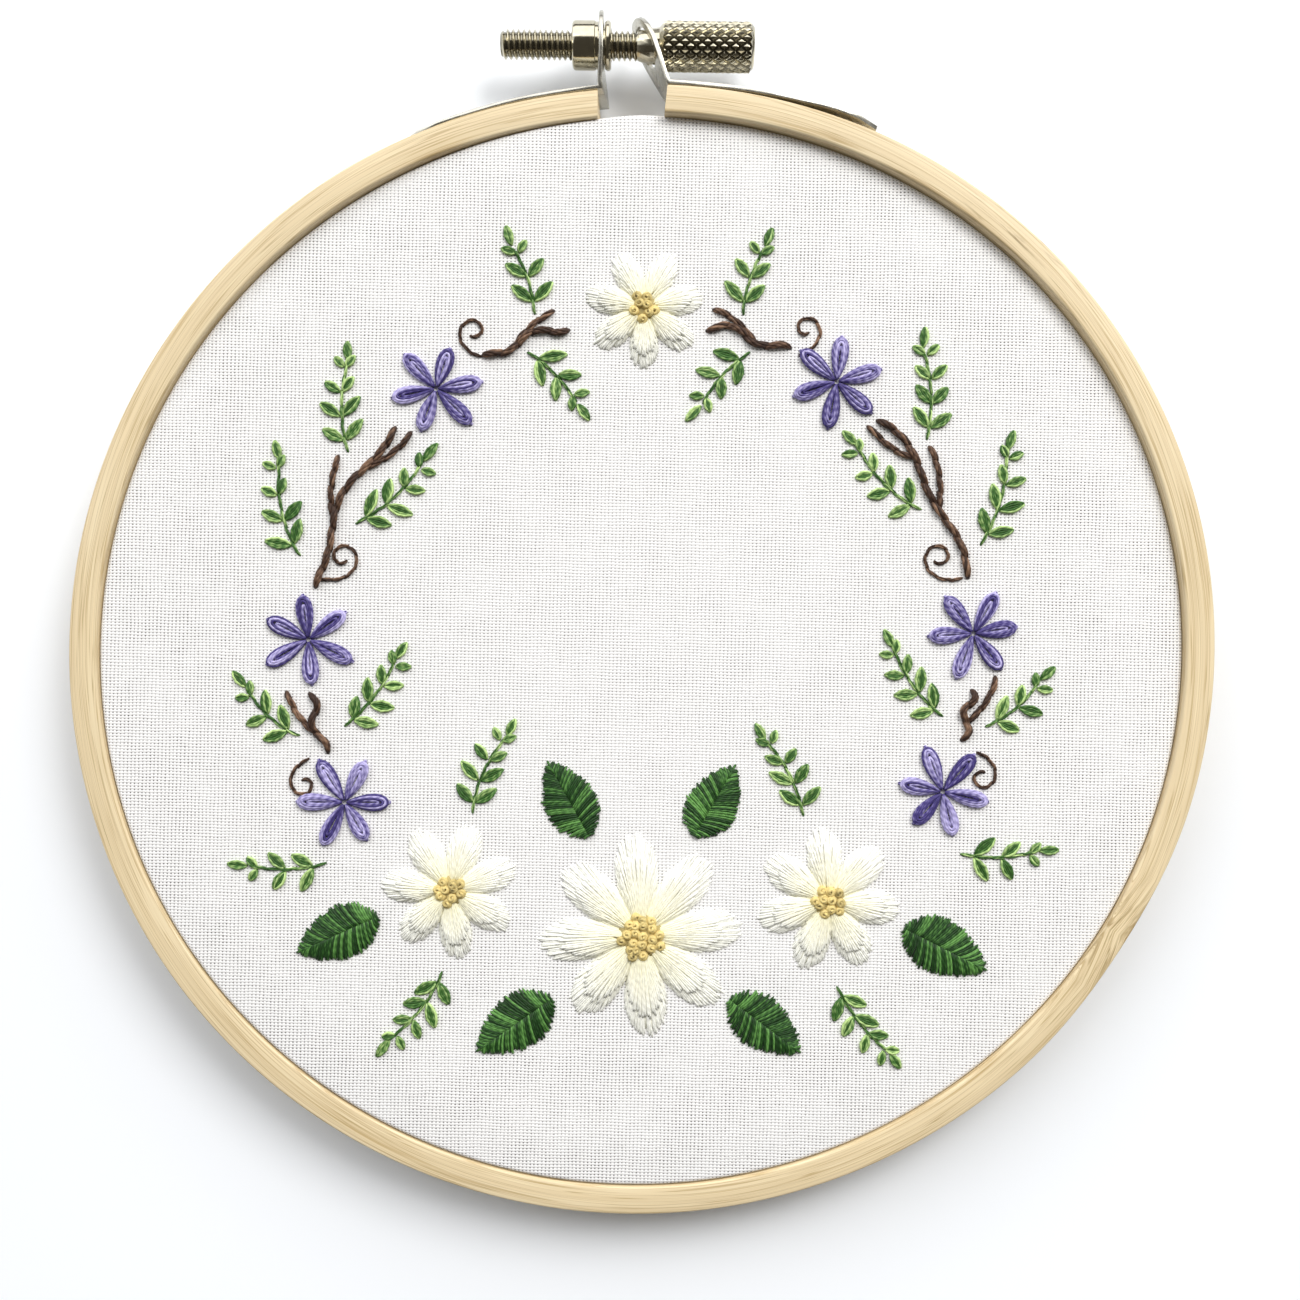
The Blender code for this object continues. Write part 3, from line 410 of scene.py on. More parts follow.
def plain_weave(settings):
    """Unbleached cotton in plain weave: matt round yarns, with painted shade in the small gaps where four of them meet.
    """
    made, tree, shader = new_material(
        "unbleached plain-weave cotton", Roughness=0.92, Sheen_Weight=0.15, Sheen_Roughness=0.5
    )
    where = add(tree, "ShaderNodeUVMap", uv_map="weave")
    # The yarns wander by about a tenth of their pitch
    wander = add(tree, "ShaderNodeTexNoise", {"Vector": where.outputs[0], "Scale": 260.0, "Detail": 2.0})
    shift = add(
        tree, "ShaderNodeVectorMath", {0: wander.outputs["Color"], 1: (0.0003, 0.0003, 0.0)}, operation="MULTIPLY"
    )
    moved = add(tree, "ShaderNodeVectorMath", {0: where.outputs[0], 1: shift.outputs[0]}, operation="ADD")
    turns = add(
        tree, "ShaderNodeVectorMath",
        {0: moved.outputs[0], 1: (pi / settings.warp, pi / settings.weft, 0.0)}, operation="MULTIPLY",
    )
    waves = add(tree, "ShaderNodeVectorMath", {0: turns.outputs[0]}, operation="SINE")
    signed = add(tree, "ShaderNodeSeparateXYZ", {0: waves.outputs[0]})
    rounded = add(tree, "ShaderNodeVectorMath", {0: waves.outputs[0]}, operation="ABSOLUTE")
    hump = add(tree, "ShaderNodeSeparateXYZ", {0: rounded.outputs[0]})
    side = add(tree, "ShaderNodeMath", {0: signed.outputs["X"], 1: signed.outputs["Y"]}, operation="MULTIPLY")
    over = add(tree, "ShaderNodeMapRange", {"Value": side.outputs[0], "From Min": -0.25, "From Max": 0.25})
    # Where the warp is over, its round back shows; elsewhere the weft's
    back = add(
        tree, "ShaderNodeMix", {"Factor": over.outputs[0], "A": hump.outputs["Y"], "B": hump.outputs["X"]}
    )
    fall = add(
        tree, "ShaderNodeMix", {"Factor": over.outputs[0], "A": hump.outputs["X"], "B": hump.outputs["Y"]}
    )
    height = add(
        tree, "ShaderNodeMath", {0: fall.outputs["Result"], 1: 0.55, 2: back.outputs["Result"]},
        operation="MULTIPLY_ADD",
    )
    # The gap at each corner, larger or smaller with the two threads' thickness there
    open_sides = []
    for axis, stretch, thinnest, thickest in (
        ("X", (1 / settings.warp, 160.0, 1.0), 1.02, 0.6), ("Y", (160.0, 1 / settings.weft, 1.0), 1.0, 0.52)
    ):
        run = add(tree, "ShaderNodeVectorMath", {0: moved.outputs[0], 1: stretch}, operation="MULTIPLY")
        thick = add(tree, "ShaderNodeTexNoise", {"Vector": run.outputs[0], "Scale": 1.0, "Detail": 1.0})
        least = add(tree, "ShaderNodeMapRange", {"Value": thick.outputs["Fac"], "To Min": thinnest, "To Max": thickest})
        side_open = add(
            tree, "ShaderNodeMath", {0: least.outputs[0], 1: hump.outputs[axis]}, operation="SUBTRACT", use_clamp=True
        )
        open_sides.append(side_open.outputs[0])
    hole = add(tree, "ShaderNodeMath", {0: open_sides[0], 1: open_sides[1]}, operation="MULTIPLY")
    uneven = add(tree, "ShaderNodeTexNoise", {"Vector": where.outputs[0], "Scale": 1500.0, "Detail": 2.0})
    patches = add(tree, "ShaderNodeTexNoise", {"Vector": where.outputs[0], "Scale": 110.0, "Detail": 3.0})
    slack = add(
        tree, "ShaderNodeMath", {0: uneven.outputs["Fac"], 1: patches.outputs["Fac"]}, operation="ADD"
    )
    open_share = add(
        tree, "ShaderNodeMapRange", {"Value": slack.outputs[0], "From Min": 0.75, "From Max": 1.15, "To Min": 0.45}
    )
    # Stretching has opened the weave towards the ring
    reach = add(tree, "ShaderNodeVectorMath", {0: where.outputs[0]}, operation="LENGTH")
    stretched = add(
        tree, "ShaderNodeMapRange",
        {"Value": reach.outputs["Value"], "From Min": 0.02, "From Max": 0.06, "To Min": 0.75, "To Max": 1.0},
    )
    gap = add(tree, "ShaderNodeMapRange", {"Value": hole.outputs[0], "From Min": 0.03, "From Max": 0.22})
    gap_seen = add(
        tree, "ShaderNodeMath", {0: gap.outputs[0], 1: open_share.outputs[0]}, operation="MULTIPLY"
    )
    gap_shade_share = add(
        tree, "ShaderNodeMath", {0: gap_seen.outputs[0], 1: stretched.outputs[0]}, operation="MULTIPLY"
    )
    slub = add(tree, "ShaderNodeVectorMath", {0: where.outputs[0], 1: (300.0, 2200.0, 1.0)}, operation="MULTIPLY")
    slubs = add(tree, "ShaderNodeTexNoise", {"Vector": slub.outputs[0], "Scale": 1.0, "Detail": 2.0})
    yarn_tone = add(tree, "ShaderNodeMapRange", {"Value": slubs.outputs["Fac"], "To Min": 0.93, "To Max": 1.04})
    yarn = add(
        tree, "ShaderNodeMix",
        {"Factor": 1.0, "A": (*settings.yarn, 1.0), "B": yarn_tone.outputs[0]},
        data_type="RGBA", blend_type="MULTIPLY",
    )
    # The gaps are painted dark: the shade under the cloth seen through them
    colour = add(
        tree, "ShaderNodeMix",
        {"Factor": gap_shade_share.outputs[0], "A": yarn.outputs["Result"], "B": (*settings.gap, 1.0)}, data_type="RGBA",
    )
    tree.links.new(colour.outputs["Result"], shader.inputs["Base Color"])
    bump = add(tree, "ShaderNodeBump", {"Height": height.outputs[0], "Strength": 0.5, "Distance": 0.00012})
    tree.links.new(bump.outputs[0], shader.inputs["Normal"])
    return made


def floss(name, dark, pale, tip=None, variegated=0.0, roughness=0.55):
    """Mercerised cotton floss: soft gloss along each strand, and the fine slant of its twist, in relief and in painted
    highlight and shade.
    """
    made, tree, shader = new_material(
        name, Roughness=roughness, Sheen_Weight=0.1, Sheen_Roughness=0.4, Specular_IOR_Level=0.35
    )
    where = add(tree, "ShaderNodeUVMap", uv_map="strand")
    apart = add(tree, "ShaderNodeSeparateXYZ", {0: where.outputs[0]})
    own = add(tree, "ShaderNodeAttribute", attribute_name="shade")
    # The dye runs lighter and darker along the strand, over about 6 mm
    run = add(tree, "ShaderNodeVectorMath", {0: where.outputs[0], 1: (170.0, 0.4, 1.0)}, operation="MULTIPLY")
    dye = add(tree, "ShaderNodeTexNoise", {"Vector": run.outputs[0], "Scale": 1.0, "Detail": 2.0})
    drift = add(tree, "ShaderNodeMapRange", {"Value": dye.outputs["Fac"], "To Min": -0.25, "To Max": 0.25})
    # Fibres lie along the strand, about 40 round it
    fibre_scale = add(tree, "ShaderNodeVectorMath", {0: where.outputs[0], 1: (500.0, 14.0, 1.0)}, operation="MULTIPLY")
    fibres = add(tree, "ShaderNodeTexNoise", {"Vector": fibre_scale.outputs[0], "Scale": 1.0, "Detail": 2.0})
    streak = add(tree, "ShaderNodeMapRange", {"Value": fibres.outputs["Fac"], "To Min": -0.3, "To Max": 0.3})
    first = add(tree, "ShaderNodeMath", {0: own.outputs["Fac"], 1: drift.outputs[0]}, operation="ADD")
    # Two plies: a ridge passes once round the strand in about 1.1 mm; its sine also paints highlight on the ridge and
    # shade in the groove
    along = add(
        tree, "ShaderNodeMath", {0: apart.outputs["X"], 1: 1 / (1.1 * MM), 2: apart.outputs["Y"]},
        operation="MULTIPLY_ADD",
    )
    angle = add(tree, "ShaderNodeMath", {0: along.outputs[0], 1: 2 * pi}, operation="MULTIPLY")
    ply = add(tree, "ShaderNodeMath", {0: angle.outputs[0]}, operation="SINE")
    ply_light_and_fibres = add(tree, "ShaderNodeMath", {0: ply.outputs[0], 1: 0.13, 2: streak.outputs[0]}, operation="MULTIPLY_ADD")
    level = add(tree, "ShaderNodeMath", {0: first.outputs[0], 1: ply_light_and_fibres.outputs[0]}, operation="ADD", use_clamp=True)
    shades = add(tree, "ShaderNodeValToRGB", {"Fac": level.outputs[0]})
    ramp(shades, [(0.0, toned(dark, 0.62)), (0.35, dark), (1.0, pale)])
    colour = shades.outputs["Color"]
    if tip:
        tint = add(tree, "ShaderNodeAttribute", attribute_name="tint")
        mixed = add(
            tree, "ShaderNodeMix", {"Factor": tint.outputs["Fac"], "A": colour, "B": (*tip, 1.0)}, data_type="RGBA"
        )
        colour = mixed.outputs["Result"]
    tree.links.new(colour, shader.inputs["Base Color"])
    relief = add(tree, "ShaderNodeMath", {0: fibres.outputs["Fac"], 1: 0.8, 2: ply.outputs[0]}, operation="MULTIPLY_ADD")
    bump = add(tree, "ShaderNodeBump", {"Height": relief.outputs[0], "Strength": 0.35, "Distance": 0.00005})
    tree.links.new(bump.outputs[0], shader.inputs["Normal"])
    return made


def plated_metal(name, colour, roughness, shade_grooves=False):
    """Bright nickel plate over turned or rolled steel: warm grey, with fine handling marks, and painted shade darkening
    its grooves.
    """
    made, tree, shader = new_material(name, Metallic=1.0)
    place = add(tree, "ShaderNodeTexCoord")
    grime = add(tree, "ShaderNodeTexNoise", {"Vector": place.outputs["Object"], "Scale": 700.0, "Detail": 4.0})
    rough = add(
        tree, "ShaderNodeMapRange",
        {"Value": grime.outputs["Fac"], "To Min": roughness * 0.7, "To Max": roughness * 1.5},
    )
    tree.links.new(rough.outputs[0], shader.inputs["Roughness"])
    shades = add(tree, "ShaderNodeValToRGB", {"Fac": grime.outputs["Fac"]})
    ramp(shades, [(0.3, toned(colour, 0.86)), (0.6, colour)])
    colour = shades.outputs["Color"]
    # Painted shade: the colour is darker the deeper a point lies in the thread or the knurl
    if shade_grooves:
        groove = add(tree, "ShaderNodeAttribute", attribute_name="groove")
        groove_darkening = add(tree, "ShaderNodeMapRange", {"Value": groove.outputs["Fac"], "From Min": 0.1, "To Min": 1.0, "To Max": 0.5})
        shaded = add(
            tree, "ShaderNodeMix", {"Factor": 1.0, "A": colour, "B": groove_darkening.outputs[0]},
            data_type="RGBA", blend_type="MULTIPLY",
        )
        colour = shaded.outputs["Result"]
    tree.links.new(colour, shader.inputs["Base Color"])
    marks = add(tree, "ShaderNodeTexNoise", {"Vector": place.outputs["Object"], "Scale": 5000.0, "Detail": 2.0})
    bump = add(tree, "ShaderNodeBump", {"Height": marks.outputs["Fac"], "Strength": 0.12, "Distance": 0.00002})
    tree.links.new(bump.outputs[0], shader.inputs["Normal"])
    return made


def deselect_all():
    if bpy.context.object and bpy.context.object.mode != "OBJECT":
        bpy.ops.object.mode_set(mode="OBJECT")
    for obj in list(bpy.context.selected_objects):
        obj.select_set(False)


def edit(piece, kind="VERT"):
    """Opens one piece in edit mode, with nothing selected."""
    deselect_all()
    bpy.context.view_layer.objects.active = piece
    piece.select_set(True)
    bpy.ops.object.mode_set(mode="EDIT")
    bpy.ops.mesh.select_mode(type=kind)
    bpy.ops.mesh.select_all(action="DESELECT")


def pick(piece, items, test):
    """Selects the vertices, edges or faces that pass a test, by their place or normal."""
    bm = bmesh.from_edit_mesh(piece.data)
    for item in getattr(bm, items):
        item.select_set(bool(test(item)))
    bm.select_flush_mode()
    bmesh.update_edit_mesh(piece.data)


def done_editing():
    bpy.ops.object.mode_set(mode="OBJECT")


def put(piece, matrix):
    """Puts a piece in its place, in its mesh, with its object left at the origin."""
    piece.data.transform(matrix)
    piece.data.update()


def finish_piece(piece, name, body, slot, material, *nodes):
    """Names a piece, gives it its material and ties it to the frame."""
    piece.name = name
    piece.data.name = name
    piece.data.materials.clear()
    piece.data.materials.append(material)
    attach(piece, body)
    if nodes:
        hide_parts(*nodes)
    deselect_all()
    return piece


def smooth(piece, angle=radians(40)):
    deselect_all()
    bpy.context.view_layer.objects.active = piece
    piece.select_set(True)
    bpy.ops.object.shade_smooth_by_angle(angle=angle)


def upright():
    """From the hoop's own frame to the row's."""
    return Matrix.Translation(CENTRE)


def askew():
    """From the outer ring's own frame, which leans, to the row's."""
    base = CLOTH_TOP + MEAN_STEP_DOWN - OUTER_HEIGHT
    line = (sin(LEAN_DIRECTION), -cos(LEAN_DIRECTION), 0.0)
    return Matrix.Translation(CENTRE + Vector((0, 0, base))) @ Matrix.Rotation(LEAN, 4, line)


def on_screw():
    """From a frame with Z along the clamp screw to the row's."""
    turn = Vector(CLAMP["axis"]).to_track_quat("Z", "Y").to_matrix().to_4x4()
    return Matrix.Translation(Vector(CLAMP["pos_m"])) @ turn


def oval():
    turn = Matrix.Rotation(OVAL_DIRECTION, 4, "Z")
    return turn @ Matrix.Diagonal((1 + OVAL, 1 - OVAL, 1.0, 1.0)) @ turn.inverted()


def arm_drop(direction):
    """How far the outer ring's left arm is pressed down in a direction."""
    if not pi / 2 < direction < ARM_DROP_STARTS:
        return 0.0
    share = min(1.0, (ARM_DROP_STARTS - direction) / (ARM_DROP_STARTS - ARM_DROP_ENDS))
    return ARM_DROP * share**2 * (3 - 2 * share)


def add_section(inner_r, outer_r, bottom, top, ease, direction):
    """A ring's section: a plate standing on edge, its corners rounded in edit mode."""
    deselect_all()
    middle = (inner_r + outer_r) / 2
    bpy.ops.mesh.primitive_plane_add(
        size=1.0,
        location=(middle * cos(direction), middle * sin(direction), (bottom + top) / 2),
        rotation=(pi / 2, 0, direction),
    )
    piece = bpy.context.object
    piece.scale = (outer_r - inner_r, top - bottom, 1)
    bpy.ops.object.transform_apply(location=True, rotation=True, scale=True)
    edit(piece)
    bpy.ops.mesh.select_all(action="SELECT")
    bpy.ops.mesh.bevel(offset=ease, segments=4, affect="VERTICES")
    return piece


def grain_map(piece):
    """A UV map in metres: U round the ring from the slot, V over its section."""
    mesh = piece.data
    layer = mesh.uv_layers.new(name="grain")
    reach = OUTER_RING_R - RING_WALL / 2
    for face in mesh.polygons:
        angles = []
        for index in face.vertices:
            co = mesh.vertices[index].co
            angles.append((atan2(co.y, co.x) - pi / 2) % (2 * pi))
        for loop, index, angle in zip(face.loop_indices, face.vertices, angles):
            if max(angles) - angle > pi:
                angle += 2 * pi
            co = mesh.vertices[index].co
            layer.data[loop].uv = (angle * reach, hypot(co.x, co.y) - co.z)


class HOOP_OT_outer_ring(bpy.types.Operator):
    """Adds the split outer ring, with eased edges and its node pared flat"""

    bl_idname = "hoop.outer_ring"
    bl_label = "Outer ring"

    def execute(self, context):
        wood = context.scene.hoop_wood
        inner_r = OUTER_RING_R - RING_WALL
        piece = add_section(inner_r, OUTER_RING_R, 0.0, OUTER_HEIGHT, wood.ease, SPIN_START)
        bpy.ops.mesh.select_all(action="SELECT")
        bpy.ops.mesh.spin(steps=RING_STEPS, angle=SPIN_SWEEP, center=(0, 0, 0), axis=(0, 0, 1))
        done_editing()
        for vert in piece.data.vertices:
            reach = hypot(vert.co.x, vert.co.y)
            share = max(0.0, (reach - inner_r) / RING_WALL)
            off = atan2(vert.co.y, vert.co.x) - PARED_DIRECTION
            pared = share * PARED_DEPTH * exp(-((off / PARED_SPREAD) ** 2))
            vert.co.x *= (reach - pared) / reach
            vert.co.y *= (reach - pared) / reach
        put(piece, oval())
        # Saws the two ends to the slot's width
        slant = Vector((RING_WALL, RIGHT_END_INNER_X - RIGHT_END_OUTER_X, 0.0)).normalized()
        for side, place, normal in (
            (-1, (LEFT_END_X, 0, 0), Vector((1, 0, 0))),
            (1, (RIGHT_END_OUTER_X, OUTER_RING_R, 0), slant),
        ):
            edit(piece)
            near = 14 * MM
            pick(piece, "verts", lambda v: v.co.y > 0 and 0 < side * v.co.x < near)
            bpy.ops.mesh.bisect(
                plane_co=place, plane_no=normal, use_fill=True, clear_inner=side > 0, clear_outer=side < 0
            )
        done_editing()
        grain_map(piece)
        for vert in piece.data.vertices:
            vert.co.z -= arm_drop(atan2(vert.co.y, vert.co.x))
        put(piece, askew())
        smooth(piece)
        finish_piece(piece, "bamboo_outer_ring", "hoop", "bamboo", bamboo(wood), "outer_ring")
        return {"FINISHED"}


class HOOP_OT_inner_ring(bpy.types.Operator):
    """Adds the closed inner ring that the cloth is stretched over"""

    bl_idname = "hoop.inner_ring"
    bl_label = "Inner ring"

    def execute(self, context):
        wood = context.scene.hoop_wood
        piece = add_section(INNER_RING_R - RING_WALL, INNER_RING_R, 0.0, INNER_HEIGHT, wood.ease, 0.0)
        bpy.ops.mesh.select_all(action="SELECT")
        bpy.ops.mesh.delete(type="ONLY_FACE")
        bpy.ops.mesh.select_all(action="SELECT")
        bpy.ops.mesh.spin(
            steps=RING_STEPS, angle=2 * pi, center=(0, 0, 0), axis=(0, 0, 1), use_auto_merge=True
        )
        bpy.ops.mesh.select_all(action="SELECT")
        bpy.ops.mesh.normals_make_consistent(inside=False)
        done_editing()
        put(piece, oval())
        grain_map(piece)
        put(piece, upright())
        smooth(piece)
        finish_piece(piece, "bamboo_inner_ring", "hoop", "inner_bamboo", bamboo(wood), "inner_ring")
        return {"FINISHED"}


def draw_profile(points):
    """A run of edges through (radius, height) points, drawn from one vertex by extruding."""
    deselect_all()
    radius, height = points[0]
    bpy.ops.mesh.primitive_plane_add(size=0.1 * MM, location=(radius, 0, height))
    piece = bpy.context.object
    bpy.ops.object.transform_apply(location=True, rotation=True, scale=True)
    edit(piece)
    bpy.ops.mesh.select_all(action="SELECT")
    bpy.ops.mesh.merge(type="CENTER")
    for (r0, z0), (r1, z1) in zip(points, points[1:]):
        bpy.ops.mesh.extrude_region_move(TRANSFORM_OT_translate={"value": (r1 - r0, 0, z1 - z0)})
    return piece


def spin_profile(points, steps):
    """Turns a profile that starts and ends on the axis into a closed round body."""
    piece = draw_profile(points)
    bpy.ops.mesh.select_all(action="SELECT")
    bpy.ops.mesh.spin(steps=steps, angle=2 * pi, center=(0, 0, 0), axis=(0, 0, 1), use_auto_merge=True)
    bpy.ops.mesh.select_all(action="SELECT")
    bpy.ops.mesh.remove_doubles(threshold=0.002 * MM)
    bpy.ops.mesh.select_all(action="SELECT")
    bpy.ops.mesh.normals_make_consistent(inside=False)
    done_editing()
    return piece


def apply_modifier(piece, kind, **settings):
    deselect_all()
    bpy.context.view_layer.objects.active = piece
    piece.select_set(True)
    step = piece.modifiers.new(kind.lower(), kind)
    for key, value in settings.items():
        setattr(step, key, value)
    bpy.ops.object.modifier_apply(modifier=step.name)


class HOOP_OT_cloth(bpy.types.Operator):
    """Adds the cotton, taut over the inner ring and turned down between the rings"""

    bl_idname = "hoop.cloth"
    bl_label = "Cloth"

    def execute(self, context):
        roll = 0.7 * MM
        flat_r = SKIRT_R - roll
        profile = [(0.0, CLOTH_TOP)]
        profile += [(flat_r * share, CLOTH_TOP) for share in (0.25, 0.5, 0.75, 0.9, 1.0)]
        for step in range(1, 7):
            turn = step / 6 * pi / 2
            profile.append((flat_r + roll * sin(turn), CLOTH_TOP - roll + roll * cos(turn)))
        profile.append((SKIRT_R, CLOTH_BOTTOM))
        piece = spin_profile(profile, RING_STEPS)
        put(piece, oval())
        apply_modifier(piece, "SOLIDIFY", thickness=CLOTH_THICKNESS, offset=-1.0, use_even_offset=True)
        mesh = piece.data
        layer = mesh.uv_layers.new(name="weave")
        for loop in mesh.loops:
            co = mesh.vertices[loop.vertex_index].co
            reach = hypot(co.x, co.y)
            flat = reach + max(0.0, CLOTH_TOP - co.z - (0 if reach > flat_r else CLOTH_THICKNESS))
            # The cloth was laid on a little turned to the clamp
            around = atan2(co.y, co.x) + radians(1.2)
            layer.data[loop.index].uv = (flat * cos(around), flat * sin(around))
        # Nothing presses on the cloth in the slot, and it swells out there
        for vert in mesh.vertices:
            reach = hypot(vert.co.x, vert.co.y)
            if reach > 0.9 * flat_r:
                off = atan2(vert.co.y, vert.co.x) - pi / 2
                share = 1 + 0.4 * MM * exp(-((off / radians(4.5)) ** 2)) / reach
                vert.co.x *= share
                vert.co.y *= share
        put(piece, upright())
        smooth(piece)
        cloth = finish_piece(
            piece, "cotton_cloth_face", "hoop", "cotton_cloth", plain_weave(context.scene.hoop_cloth), "cloth"
        )
        return {"FINISHED"}


class HOOP_OT_brackets(bpy.types.Operator):
    """Adds the two steel brackets, their sheared edges rounded off"""

    bl_idname = "hoop.brackets"
    bl_label = "Brackets"

    def execute(self, context):
        steel = plated_metal("nickel-plated strip steel, rolled", context.scene.hoop_metal.strip, 0.24)
        for side in ("left", "right"):
            deselect_all()
            node = frame["nodes"][f"bracket_{side}"]
            mesh = node.data.copy()
            piece = bpy.data.objects.new(f"strip_bracket_{side}", mesh)
            context.collection.objects.link(piece)
            put(piece, node.matrix_world)
            edit(piece)
            bpy.ops.mesh.select_all(action="SELECT")
            bpy.ops.mesh.remove_doubles(threshold=0.002 * MM)
            bpy.ops.mesh.select_all(action="SELECT")
            bpy.ops.mesh.dissolve_limited(angle_limit=radians(1.0))
            done_editing()
            if side == "left":
                # The foot of this ear is bent over, its lower edge towards the slot
                for vert in piece.data.vertices:
                    out = vert.co.y - CENTRE.y
                    foot = min(max((85.2 * MM - out) / (1.6 * MM), 0.0), 1.0)
                    foot *= min(max((vert.co.x + 8.5 * MM) / (2.3 * MM), 0.0), 1.0)
                    vert.co.x += 0.1 * foot * (CLAMP["pos_m"][2] - vert.co.z)
            else:
                # The rounded end of this ear is drawn in round the screw, along its own slant
                for vert in piece.data.vertices:
                    out = vert.co.y - CLAMP["pos_m"][1]
                    share = min(max(out / (1.5 * MM) + 1, 0.0), 1.0)
                    vert.co.z += 0.12 * share * (CLAMP["pos_m"][2] - vert.co.z)
                    vert.co.y -= 0.12 * max(out, 0.0)
                    vert.co.x += 0.06 * max(out, 0.0)
            apply_modifier(piece, "BEVEL", width=0.1 * MM, segments=2, limit_method="ANGLE", angle_limit=radians(35))
            smooth(piece)
            finish_piece(piece, f"strip_bracket_{side}", "hoop", "strip_steel", steel, f"bracket_{side}")
        return {"FINISHED"}


class HOOP_OT_clamp_nut(bpy.types.Operator):
    """Adds the turned nut, riveted through the left ear"""

    bl_idname = "hoop.clamp_nut"
    bl_label = "Clamp nut"

    def execute(self, context):
        bore = SHANK_R + 0.25 * MM
        ease = 0.5 * MM
        profile = [(bore, NUT_LEFT)]
        profile += [(NUT_R - ease + ease * sin(a), NUT_LEFT + ease - ease * cos(a)) for a in (0, 0.5, 1.0, pi / 2)]
        profile += [
            (NUT_R, EAR_LEFT - 0.5 * MM),
            (NUT_R - 0.15 * MM, EAR_LEFT - 0.4 * MM),
            (NUT_R - 0.15 * MM, EAR_LEFT),
            (NUT_NECK_R, EAR_LEFT),
            (NUT_NECK_R, EAR_RIGHT),
            (NUT_R - 0.2 * MM, EAR_RIGHT),
            (NUT_R, EAR_RIGHT + 0.25 * MM),
            (NUT_R, NUT_RIGHT - 0.25 * MM),
            (NUT_R - 0.25 * MM, NUT_RIGHT),
            (bore, NUT_RIGHT),
            (bore, NUT_LEFT),
        ]
        piece = spin_profile(profile, 72)
        put(piece, on_screw())
        smooth(piece, radians(30))
        plate = plated_metal("bright nickel plate, turned", context.scene.hoop_metal.plate, 0.11)
        finish_piece(piece, "plated_clamp_nut", "hoop", "nickel_plate", plate, "clamp_nut")
        return {"FINISHED"}


def add_shank(metal, end):
    """The threaded shank: one turn of the thread's section, screwed up and cut off flat at both ends."""
    root = SHANK_R - metal.thread_depth
    low = SHANK_TIP - 1.3 * THREAD_PITCH
    section = [
        (root, low),
        (root, low + 0.12 * THREAD_PITCH),
        (SHANK_R, low + 0.45 * THREAD_PITCH),
        (SHANK_R, low + 0.58 * THREAD_PITCH),
        (root, low + 0.90 * THREAD_PITCH),
        (root, low + THREAD_PITCH),
    ]
    piece = draw_profile(section)
    done_editing()
    turns = round((end - low) / THREAD_PITCH) + 2
    apply_modifier(
        piece, "SCREW", axis="Z", angle=2 * pi, screw_offset=THREAD_PITCH, iterations=turns, steps=24,
        render_steps=24, use_merge_vertices=True, merge_threshold=0.01 * MM,
    )
    edit(piece)
    bpy.ops.mesh.select_all(action="SELECT")
    bpy.ops.mesh.remove_doubles(threshold=0.01 * MM)
    for place, lower in ((SHANK_TIP, True), (end, False)):
        bpy.ops.mesh.select_all(action="SELECT")
        bpy.ops.mesh.bisect(
            plane_co=(0, 0, place), plane_no=(0, 0, 1), clear_inner=lower, clear_outer=not lower,
            threshold=0.0001 * MM,
        )
    bpy.ops.mesh.select_all(action="SELECT")
    bpy.ops.mesh.remove_doubles(threshold=0.01 * MM)
    bpy.ops.mesh.select_mode(type="EDGE")
    for place in (SHANK_TIP, end):
        pick(
            piece, "edges",
            lambda e: len(e.link_faces) == 1 and all(abs(v.co.z - place) < 0.01 * MM for v in e.verts),
        )
        bpy.ops.mesh.edge_face_add()
    bpy.ops.mesh.select_all(action="SELECT")
    bpy.ops.mesh.normals_make_consistent(inside=False)
    done_editing()
    # The tip is chamfered at 45 degrees, from just under the thread's root
    for vert in piece.data.vertices:
        reach = hypot(vert.co.x, vert.co.y)
        limit = root - 0.1 * MM + (vert.co.z - SHANK_TIP)
        if reach > limit:
            vert.co.x *= limit / reach
            vert.co.y *= limit / reach
    return piece


